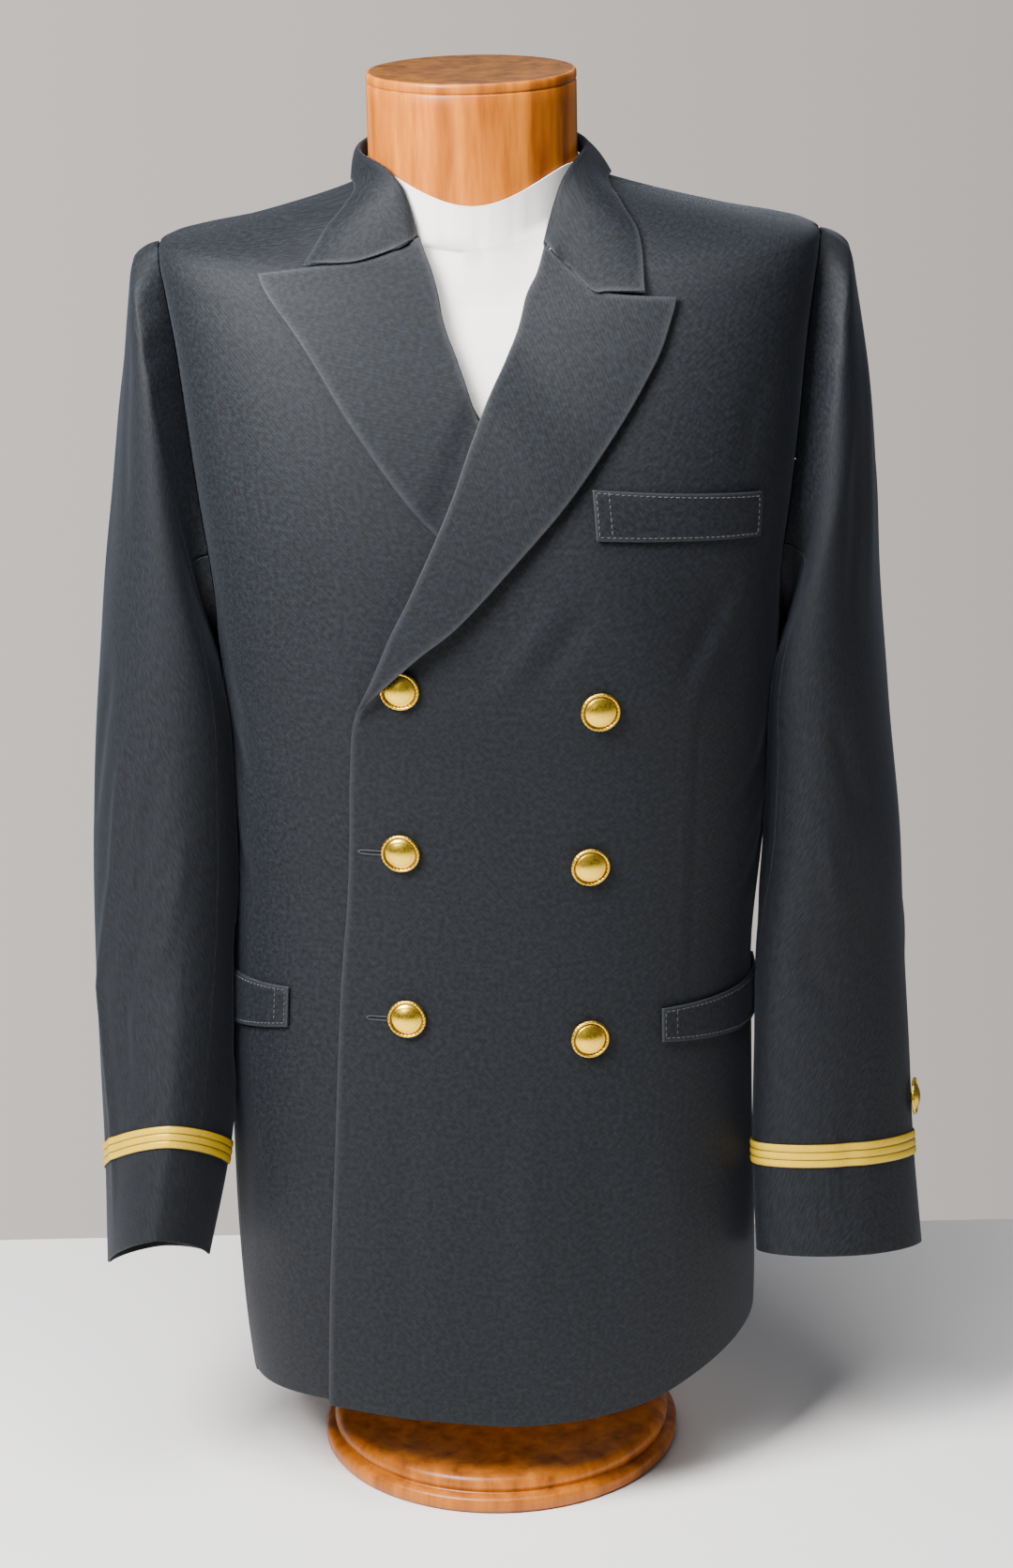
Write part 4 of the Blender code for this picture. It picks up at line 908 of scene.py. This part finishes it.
def jersey_material():
    """White cotton jersey: fine ribs of knitting and faint tone."""
    n = Nodes("white_jersey")
    cloth_uv = n.add("ShaderNodeUVMap", uv_map="cloth").outputs["UV"]
    place = n.add("ShaderNodeTexCoord").outputs["Object"]
    ribs = n.add("ShaderNodeTexWave", bands_direction="X", Scale=260.0, Distortion=0.8)
    loops = n.add("ShaderNodeTexWave", bands_direction="Y", Scale=330.0, Distortion=1.0)
    tone = n.add("ShaderNodeTexNoise", Scale=14.0, Detail=4.0)
    n.link(cloth_uv, ribs.inputs["Vector"])
    n.link(cloth_uv, loops.inputs["Vector"])
    n.link(place, tone.inputs["Vector"])
    knit = n.math("MULTIPLY", ribs.outputs["Fac"], loops.outputs["Fac"])
    colour = n.mix(knit, (0.76, 0.74, 0.70, 1), (0.90, 0.88, 0.84, 1))
    tones = n.mix(tone.outputs["Fac"], (0.95, 0.94, 0.93, 1), (1.04, 1.04, 1.04, 1))
    n.link(n.mix(1.0, colour, tones, "MULTIPLY"), n.shader.inputs["Base Color"])
    n.link(n.scaled(knit, 0.95, 0.8), n.shader.inputs["Roughness"])
    n.link(n.bump(knit, 0.00015, 0.6), n.shader.inputs["Normal"])
    n.set(Sheen_Weight=0.15, Specular_IOR_Level=0.25)
    return n.material


def wood_material():
    """Beech stained orange-brown under a glossy lacquer, its grain running upright."""
    n = Nodes("stained_wood")
    place = n.add("ShaderNodeTexCoord").outputs["Object"]
    long = n.add("ShaderNodeMapping")
    long.inputs["Scale"].default_value = (1.0, 1.0, 0.10)
    n.link(place, long.inputs["Vector"])
    grain = n.add("ShaderNodeTexNoise", Scale=85.0, Detail=6.0, Distortion=0.4)
    flecks = n.add("ShaderNodeTexNoise", Scale=620.0, Detail=3.0)
    broad = n.add("ShaderNodeTexNoise", Scale=12.0, Detail=3.0)
    for node in (grain, flecks, broad):
        n.link(long.outputs["Vector"], node.inputs["Vector"])
    streak = n.scaled(grain.outputs["Fac"], -0.5, 1.4)
    colour = n.mix(streak, (0.20, 0.045, 0.002, 1), (0.66, 0.205, 0.012, 1))
    spots = n.mix(flecks.outputs["Fac"], (0.72, 0.68, 0.66, 1), (1.15, 1.15, 1.15, 1))
    colour = n.mix(1.0, colour, spots, "MULTIPLY")
    tones = n.mix(broad.outputs["Fac"], (0.85, 0.82, 0.80, 1), (1.15, 1.15, 1.15, 1))
    colour = n.mix(1.0, colour, tones, "MULTIPLY")
    lid = n.add("ShaderNodeAttribute", attribute_name="rim").outputs["Fac"]
    # Painted shade: the lid's upturned top face is painted darker than the wood's own colour.
    painted_lid_shade = n.mix(1.0, colour, (0.30, 0.36, 0.62, 1), "MULTIPLY")
    n.link(n.mix(lid, colour, painted_lid_shade), n.shader.inputs["Base Color"])
    n.link(n.math("ADD", n.scaled(grain.outputs["Fac"], 0.30, 0.42), n.math("MULTIPLY", lid, 0.2)),
           n.shader.inputs["Roughness"])
    n.link(n.bump(flecks.outputs["Fac"], 0.00003, 0.5), n.shader.inputs["Normal"])
    n.set(Coat_Weight=0.10, Coat_Roughness=0.20, Specular_IOR_Level=0.22)
    return n.material


SERGE = serge_material()
GILT = gilt_material()
LACE_GOLD = lace_material()
JERSEY = jersey_material()
WOOD = wood_material()
THREAD = plain_material("black_thread", (0.020, 0.021, 0.026), 0.55, noise=2500.0, Sheen_Weight=0.3)


# Cloth panels


def dense_levels(spans):
    out = []
    for low, high, step in spans:
        out += list(np.arange(low, high, step))
    return out


FRONT_LEVELS = [62, 62.9] + dense_levels(((64.5, 540, 5.2), (540, 790, 4.2), (790, 846, 3.2))) + [847.2, 848]


def panel_rows(side, ahead, levels, shares):
    """Rows of a front or back as in its solid, at chosen shares of its width."""
    rows = []
    for level in levels:
        if ahead and side > 0:
            first, last = float(spline(EDGE_OVER, level)[0]), float(90 - side_edge(level, True))
        elif ahead:
            first, last = float(-90 + side_edge(level, True)), float(spline(EDGE_UNDER, level)[0])
        else:
            first = float(90 + side_edge(level, False))
            last = float(180 - seam_angle(level) * 1.5)
        dense = np.linspace(first, last, 240)
        points = body(dense, np.full(240, float(level)))
        run = np.concatenate([[0], np.cumsum(np.linalg.norm(np.diff(points, axis=0), axis=1))])
        angle = np.interp(shares * run[-1], run, dense)
        if not ahead and side < 0:
            angle = -angle[::-1]
        fade = np.clip(1 - (level - levels[0]) / 220, 0, 1)
        flat = level + (hem(angle) - levels[0]) * fade
        if ahead and side > 0:
            rows.append(cloth_walls(angle, flat, over_lift(angle, flat)))
        elif ahead:
            rows.append(cloth_walls(angle, flat + 2.5 * fade, no_lift(angle, flat)))
        else:
            rows.append(cloth_walls(angle, flat, no_lift(angle, flat)))
    return stack(rows)


sewn = {}     # stitches that go with a piece of cloth
for name, side, cols, open_side in (("front_left", 1, 126, -1), ("front_right", -1, 96, 0)):
    walls = panel_rows(side, True, FRONT_LEVELS, tight(cols))
    cloth(name + "_cloth", *walls, SERGE, name, front=open_side)
for side, word in ((1, "left"), (-1, "right")):
    name = "back_" + word
    cloth(name + "_cloth", *panel_rows(side, False, FRONT_LEVELS, tight(66)), SERGE, name)
    gap = math.degrees(SEAM / 2 / 165)
    angle = 90 - SIDE_SEAM + gap + (2 * SIDE_SEAM - 2 * gap) * tight(22, 0.012)
    away = np.abs(angle - 90)
    top = np.where(angle < 90, armhole_floor(away, True), armhole_floor(away, False)) - SEAM
    turned = angle if side > 0 else -angle[::-1]
    top = top if side > 0 else top[::-1]
    low = hem(turned)
    rows = [low + (top - low) * s for s in tight(104, 0.0018)]
    rows = [cloth_walls(turned, level, no_lift(turned, level)) for level in rows]
    name = "side_" + word
    cloth(name + "_cloth", *stack(rows), SERGE, name)

LAPELS = (
    ("lapel_left", LAPEL_OVER, NOTCH_OVER, over_lift),
    ("lapel_right", LAPEL_UNDER, NOTCH_UNDER, no_lift),
)
for name, table, notch, lift in LAPELS:
    walls = stack(lapel_rows(table, notch, lift, 120, 30))
    cloth(name + "_cloth", *walls, SERGE, name, free=1.0)


def collar_shell(name, lines, wall):
    """The collar's folded band: each station's middle line with half the wall each side."""
    along = np.gradient(lines, axis=0)
    across = np.gradient(lines, axis=1)
    normal = np.cross(along, across)
    normal = normal / np.linalg.norm(normal, axis=-1, keepdims=True)
    half = wall / 2 * MM
    return cloth(name, lines + normal * half, lines - normal * half, SERGE, "collar", free=1.0)


stations = 10 * tight(150, 0.0016)
sections = collar_sections(stations)
shares = np.linspace(0, 1, sections.shape[1])
fine = np.stack([spline(np.column_stack([shares * 10, s]), 10 * tight(40, 0.006)) for s in sections])
collar_shell("collar_cloth", np.moveaxis(fine, 1, 2), 1.6)

SLEEVES = (
    (1, SLEEVE_LEFT, "left"),
    (-1, SLEEVE_RIGHT, "right"),
)
SLEEVE_STEPS = 11 * tight(128, 0.0016)


def sleeve_shell(side, table, first, last, cols, seam_first, seam_last):
    outer, inner = [], []
    for row in SLEEVE_STEPS:
        a = first + seam_turn(side, table, row, seam_first)
        b = last - seam_turn(side, table, row, seam_last)
        half = sleeve_angles(side, table, a, b, row, 160)
        turn = np.interp(tight(cols, 0.005), np.linspace(0, 1, 160), half)
        point = warm_sleeve(side, table, row, turn)
        normal = sleeve_normal(side, table, row, turn)
        outer.append(point)
        inner.append(point - normal * CLOTH * MM)
    return np.array(outer), np.array(inner)


for side, table, word in SLEEVES:
    name = "top_sleeve_" + word
    grids = sleeve_shell(side, table, -SLEEVE_FORE, SLEEVE_BACK, 96, 360 - SLEEVE_FORE, SLEEVE_BACK)
    cloth(name + "_cloth", *grids, SERGE, name)
    name = "under_sleeve_" + word
    grids = sleeve_shell(side, table, SLEEVE_BACK, 360 - SLEEVE_FORE, 56, SLEEVE_BACK, 360 - SLEEVE_FORE)
    cloth(name + "_cloth", *grids, SERGE, name)


# Welts, braid and stitching

WELTS = (
    ("breast_welt", BREAST_WELT, over_lift),
    ("hip_welt_left", HIP_WELT_LEFT, over_lift),
    ("hip_welt_right", HIP_WELT_RIGHT, no_lift),
)
for name, ends, lift in WELTS:
    cloth(name + "_cloth", *stack(welt_rows(ends, 14, 60, lift)), SERGE, name, free=0.8)
    extra = 2.45 * LAYER + WELT + 0.05
    mm = (ends[-1][0] - ends[0][0]) / abs(ends[-1][0] - ends[0][0]) / DEGREE
    (a, at, al), (b, bt, bl) = ends[0], ends[-1]
    marks = [(a + STITCH_INSET * mm, at, al), *ends[1:-1], (b - STITCH_INSET * mm, bt, bl)]
    top = [(m, t - STITCH_INSET) for m, t, l in marks]
    low = [(m, l + STITCH_INSET) for m, t, l in marks]
    inner = [(a + TACK_INSET * mm, at - STITCH_INSET), (a + TACK_INSET * mm, al + STITCH_INSET)]
    near, far = [top[0], low[0]], [top[-1], low[-1]]
    lines = (("top", top), ("low", low), ("end", near), ("tack", inner), ("far", far))
    sewn[name] = [stitches(name + "_stitch_" + word, line, lift, THREAD, extra) for word, line in lines]


def lace_ring(name, side, table):
    """The cuff's band of lace: three ridges with two dark grooves between them."""
    first, last = BRAID_ROWS
    turns = np.concatenate([
        sleeve_angles(side, table, -SLEEVE_FORE, SLEEVE_BACK, 10.0, 150)[:-1],
        sleeve_angles(side, table, SLEEVE_BACK, 360 - SLEEVE_FORE, 10.0, 80)[:-1],
    ])
    section = []
    for share in np.linspace(0, 1, 37):
        ridge = abs(math.sin(share * 3 * math.pi)) ** 0.55
        section.append((share, 0.35 + 0.75 * ridge, 1 - min(1.0, ridge * 1.35)))
    section += [(1.0, -0.1, 0.6), (0.5, -0.1, 0.6), (0.0, -0.1, 0.6)]
    vertices, uv, groove = [], [], []
    middle_row = (first + last) / 2
    ring = warm_sleeve(side, table, middle_row, turns)
    run = np.concatenate([[0], np.cumsum(np.linalg.norm(np.diff(ring, axis=0), axis=1))])
    for share, high, dark in section:
        row = first + (last - first) * share
        points = warm_sleeve(side, table, row, turns)
        points = points + sleeve_normal(side, table, row, turns) * (LAYER + high * LACE) * MM
        vertices.append(points)
        uv.append(np.stack([run, np.full(len(run), share * 0.014)], axis=-1))
        groove.append(np.full(len(run), dark))
    rows, cols = len(section), len(turns)
    vertices = np.array(vertices).reshape(-1, 3)
    flip = side < 0
    faces = grid_faces(rows, cols, 0, flip, wrap=True)
    for j in range(cols):
        k = (j + 1) % cols
        base = (rows - 1) * cols
        loop = (base + j, base + k, k, j)
        faces.append(loop[::-1] if flip else loop)
    made_ring = mesh_piece(name + "_lace", vertices, faces, np.array(uv).reshape(-1, 2),
                           np.array(groove).ravel())
    bm = bmesh.new()
    bm.from_mesh(made_ring.data)
    bmesh.ops.recalc_face_normals(bm, faces=bm.faces)
    bm.to_mesh(made_ring.data)
    bm.free()
    made_ring.data.materials.append(LACE_GOLD)
    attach(made_ring, "root")
    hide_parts(name)
    return made_ring


for side, table, word in SLEEVES:
    lace_ring("cuff_braid_" + word, side, table)


# Buttons and buttonholes


def turned_mesh(profile, segments, dark=None):
    """A closed turned piece from its profile, which starts and ends on the axis."""
    turn = np.linspace(0, 2 * math.pi, segments, endpoint=False)
    rings = profile[1:-1]
    vertices = [(0, 0, profile[0][1])]
    values = [0.0]
    for k, (r, h) in enumerate(rings):
        vertices += [(r * math.cos(a), r * math.sin(a), h) for a in turn]
        values += [dark[k + 1] if dark else 0.0] * segments
    vertices.append((0, 0, profile[-1][1]))
    values.append(dark[-1] if dark else 0.0)
    faces = []
    for j in range(segments):
        m = (j + 1) % segments
        faces.append((0, 1 + m, 1 + j))
        for k in range(len(rings) - 1):
            a, b = 1 + k * segments, 1 + (k + 1) * segments
            faces.append((a + j, a + m, b + m, b + j))
        end = 1 + (len(rings) - 1) * segments
        faces.append((end + j, end + m, len(vertices) - 1))
    return np.array(vertices, float) * MM, faces, np.array(values)


BUTTON = (
    # distance from the axis, height, darkness of the tone
    (0, 0.3, 0), (2.2, 0.3, 0.6), (2.2, 1.4, 0.8), (9.6, 1.5, 0.8), (11.3, 1.75, 0.5),
    (11.9, 2.3, 0.2), (11.5, 2.85, 0.2), (10.2, 2.75, 0.8), (9.6, 2.75, 1.0), (9.2, 3.05, 0.6),
    (8.7, 3.45, 0.1), (7.9, 3.95, 0), (7.4, 4.12, 0.35), (7.0, 4.32, 0.1), (6.0, 4.85, 0),
    (4.6, 5.4, 0), (3.0, 5.82, 0), (1.5, 6.02, 0), (0.6, 6.08, 0), (0, 6.1, 0),
)


def gilt_button(name, point, normal, spin):
    """A domed gilt button with a twisted rope round its rim and a plain, ringed face."""
    profile = [(r, h) for r, h, d in BUTTON]
    vertices, faces, values = turned_mesh(profile, 72, [d for r, h, d in BUTTON])
    rope, ropes, tone = [], [], []
    around, about = 180, 10
    for i in range(around):
        a = 2 * math.pi * i / around
        for j in range(about):
            b = 2 * math.pi * j / about
            strand = abs(math.sin(15 * a + b * 0.9))
            size = 0.62 + 0.30 * strand
            r = 10.85 + size * math.cos(b)
            rope.append((r * math.cos(a), r * math.sin(a), 2.95 + size * math.sin(b) * 0.9))
            tone.append(0.85 * (1 - strand) ** 1.5)
    for i in range(around):
        m = (i + 1) % around
        for j in range(about):
            k = (j + 1) % about
            base = len(vertices)
            ropes.append((base + i * about + j, base + m * about + j, base + m * about + k,
                          base + i * about + k))
    vertices = np.concatenate([vertices, np.array(rope) * MM])
    values = np.concatenate([values, tone])
    z = np.array(normal, float)
    x = np.cross((0, 0, 1.0), z)
    x /= np.linalg.norm(x)
    y = np.cross(z, x)
    c, s = math.cos(spin), math.sin(spin)
    x, y = x * c + y * s, y * c - x * s
    placed = vertices @ np.stack([x, y, z]) + np.array(point)
    obj = mesh_piece(name + "_gilt", placed, faces + ropes, None, values)
    obj.data.materials.append(GILT)
    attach(obj, "root")
    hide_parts(name)
    return obj


spin = 0.3
for name, angle, level in FRONT_BUTTONS:
    a, b = np.array(float(angle)), np.array(float(level))
    gilt_button(name, on_body(a, b, over_lift(a, b)), body_normal(a, b), spin)
    spin += 1.1
for name, side, row, turn in SLEEVE_BUTTONS:
    table = SLEEVE_LEFT if side > 0 else SLEEVE_RIGHT
    a, b = np.array(float(row)), np.array(float(turn))
    gilt_button(name, warm_sleeve(side, table, a, b), sleeve_normal(side, table, a, b), spin)
    spin += 1.1


def buttonhole(name, angle, level, length):
    """A worked buttonhole: close stitches all round a slit, from the button to the edge."""
    count = 120
    points, normals = [], []
    for k in range(count + 1):
        turn = 2 * math.pi * k / count
        c, s = math.cos(turn), math.sin(turn)
        x = math.copysign(abs(c) ** 0.35, c) * length / 2
        y = math.copysign(abs(s) ** 0.5, s) * 1.25
        points.append((angle - (length / 2 - x) / DEGREE, level + y))
    points = np.array(points)
    flat = on_body(points[:, 0], points[:, 1], over_lift(points[:, 0], points[:, 1]) + 0.12)
    normals = body_normal(points[:, 0], points[:, 1])
    return thread(name, flat, normals, THREAD, length=0.75, gap=0.12, size=0.5)


for name, angle, level, length in (
    ("buttonhole_2", -27.6, 447.0, 30.0), ("buttonhole_3", -24.3, 340.0, 30.0),
):
    sewn.setdefault("front_left", []).append(buttonhole(name, angle, level, length))


# Form, block and base

# Soft upright folds of the jersey in the jacket's neck: angle, half width in degrees, depth
JERSEY_FOLDS = (
    (-27.0, 3.6, 1.1), (-15.5, 3.2, 1.3), (-6.0, 2.8, 0.8), (3.0, 3.4, 1.4), (12.5, 2.8, 0.9),
    (21.0, 3.2, 1.3), (31.0, 3.4, 1.0),
)


def jersey_folds(ring):
    """A ring of the jersey pressed in along its upright folds, below the neckline."""
    ring = np.array(ring, float)
    turn = np.degrees(np.arctan2(ring[:, 0], -ring[:, 1]))
    deep = sum(d * np.exp(-((turn - a) / w) ** 2) for a, w, d in JERSEY_FOLDS)
    level = ring[:, 2] / MM
    deep = deep * smooth((level - 640) / 60) * smooth((826 - level) / 22) * MM
    reach = np.hypot(ring[:, 0], ring[:, 1])
    ring[:, :2] *= (1 - deep / reach)[:, None]
    return ring


def jersey_body():
    """The padded torso's cover, closed under the skirt and at the neck."""
    around = 112
    rings = [jersey_folds(ring) for ring in torso_rings(around)]
    count = len(rings)
    vertices = np.array(rings).reshape(-1, 3)
    faces = grid_faces(count, around, wrap=True)
    faces.append(tuple(range(around - 1, -1, -1)))
    faces.append(tuple((count - 1) * around + k for k in range(around)))
    grid = np.array(rings)
    across = np.concatenate([np.zeros((count, 1)), lengths(grid, 1)[:, 1:]], axis=1)
    down = lengths(grid, 0)
    uv = np.stack([across, down], axis=-1).reshape(-1, 2)
    obj = mesh_piece("form_jersey", vertices, faces, uv, np.zeros(len(vertices)))
    bm = bmesh.new()
    bm.from_mesh(obj.data)
    bmesh.ops.recalc_face_normals(bm, faces=bm.faces)
    bm.to_mesh(obj.data)
    bm.free()
    obj.data.set_sharp_from_angle(angle=math.radians(50))
    obj.data.materials.append(JERSEY)
    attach(obj, "root")
    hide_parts("form_torso")
    return obj


jersey_body()

BLOCK = (
    (0, 0.3), (BLOCK_R, 0.3), (BLOCK_R, 40), (BLOCK_R, 80), (BLOCK_R, 86.4), (BLOCK_R - 0.25, 87.0),
    (BLOCK_R - 0.8, 87.6), (BLOCK_R - 0.8, 88.0), (BLOCK_R - 0.2, 88.5), (BLOCK_R, 89.0),
    (BLOCK_R, 92.0), (BLOCK_R - 0.3, 93.0), (BLOCK_R - 0.9, 93.7), (BLOCK_R - 2.2, 94), (40, 94), (0, 94),
)
BASE = (
    (0, 0), (BASE_R - 3, 0), (BASE_R - 1.2, 0.5), (BASE_R - 0.2, 1.6), (BASE_R, 3.0), (BASE_R, 7.0),
    (BASE_R - 0.5, 8.6), (BASE_R - 1.8, 9.8), (BASE_R - 4, 10.6), (BASE_R - 6.6, 11.0),
    (BASE_R - 7, 11.4), (BASE_R - 7, 12.4), (BASE_R - 6.3, 13.4), (BASE_R - 6.0, 15.0),
    (BASE_R - 6.3, 17.0), (BASE_R - 7.5, 19.2), (BASE_R - 9.2, 20.9), (BASE_R - 11.5, BASE_H),
    (60, BASE_H), (0, BASE_H),
)
for name, profile, foot in (("neck_block", BLOCK, BLOCK_FOOT), ("stand_base", BASE, 0.0)):
    # Mask of the painted shade on the lid's top face, on the neck block only.
    painted_lid_shade = [1.0 if h > 93.8 and r < BLOCK_R - 1.5 else 0.0 for r, h in profile]
    vertices, faces, values = turned_mesh([(r, h + foot) for r, h in profile], 144, painted_lid_shade)
    obj = mesh_piece(name + "_turned", vertices, faces, None, values)
    obj.data.set_sharp_from_angle(angle=math.radians(35))
    obj.data.materials.append(WOOD)
    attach(obj, "root")
    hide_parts(name)
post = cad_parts["stand_post"]
post.data.materials.clear()
post.data.materials.append(WOOD)


# Stage, light and camera


def stage_box(name, low, high, colour):
    x, y, z = zip(low, high)
    corners = np.array([(x[i], y[j], z[k]) for i in (0, 1) for j in (0, 1) for k in (0, 1)])
    faces = [(0, 1, 3, 2), (4, 6, 7, 5), (0, 4, 5, 1), (2, 3, 7, 6), (0, 2, 6, 4), (1, 5, 7, 3)]
    obj = mesh_piece(name, corners, faces, smooth_all=False)
    n = Nodes(name)
    place = n.add("ShaderNodeTexCoord").outputs["Object"]
    tone = n.add("ShaderNodeTexNoise", Scale=3.0, Detail=3.0)
    n.link(place, tone.inputs["Vector"])
    low_tone = (*[c * 0.97 for c in colour], 1)
    high_tone = (*[c * 1.03 for c in colour], 1)
    n.link(n.mix(tone.outputs["Fac"], low_tone, high_tone), n.shader.inputs["Base Color"])
    n.set(Roughness=0.55, Specular_IOR_Level=0.3)
    obj.data.materials.append(n.material)


stage_box("table", (-3.0, -3.2, -0.04), (3.0, 0.30, -0.0003), (0.82, 0.80, 0.79))

world = bpy.data.worlds.new("studio")
bpy.context.scene.world = world
world.use_nodes = True
sky = world.node_tree
facing = sky.nodes.new("ShaderNodeTexCoord")
parts = sky.nodes.new("ShaderNodeSeparateXYZ")
span = sky.nodes.new("ShaderNodeMapRange")
shade = sky.nodes.new("ShaderNodeMix")
shade.data_type = "RGBA"
sky.links.new(facing.outputs["Generated"], parts.inputs[0])
sky.links.new(parts.outputs["X"], span.inputs["Value"])
span.inputs["From Min"].default_value = -0.16
span.inputs["From Max"].default_value = 0.16
sky.links.new(span.outputs["Result"], shade.inputs[0])
shade.inputs[6].default_value = (1.10, 1.02, 0.95, 1)
shade.inputs[7].default_value = (0.72, 0.66, 0.63, 1)
seen = sky.nodes.new("ShaderNodeLightPath")
fill = sky.nodes.new("ShaderNodeMix")
fill.data_type = "RGBA"
sky.links.new(seen.outputs["Is Camera Ray"], fill.inputs[0])
fill.inputs[6].default_value = (0.135, 0.145, 0.165, 1)
sky.links.new(shade.outputs[2], fill.inputs[7])
sky.links.new(fill.outputs[2], sky.nodes["Background"].inputs["Color"])
world.node_tree.nodes["Background"].inputs["Strength"].default_value = 0.84


def soft_light(name, place, aim, size, power, colour=(1, 1, 1)):
    data = bpy.data.lights.new(name, "AREA")
    data.shape = "RECTANGLE"
    data.size, data.size_y = size
    data.energy = power
    data.color = colour
    obj = bpy.data.objects.new(name, data)
    bpy.context.scene.collection.objects.link(obj)
    obj.location = place
    obj.rotation_euler = (Vector(aim) - Vector(place)).to_track_quat("-Z", "Y").to_euler()


soft_light("window", (-0.74, -0.78, 1.50), (-0.05, 0, 0.68), (0.7, 0.7), 98, (1.0, 0.985, 0.97))
soft_light("overhead", (0.1, -0.75, 2.5), (0, 0, 0.5), (1.2, 0.9), 44)
soft_light("behind", (0.6, 1.9, 1.9), (0, 0, 0.5), (1.6, 1.2), 5)

camera = bpy.data.objects.new("photo_camera", bpy.data.cameras.new("photo_camera"))
bpy.context.scene.collection.objects.link(camera)
camera.data.sensor_width = 36.0
camera.data.lens = 4000 * 36 / 1672
camera.location = (0.0121, -2.221, 1.206)
turn = Matrix.Rotation(math.radians(90 - 18.8), 4, "X") @ Matrix.Rotation(math.radians(-1.2), 4, "Z")
camera.rotation_euler = turn.to_euler()
bpy.context.scene.camera = camera

bpy.context.view_layer.update()
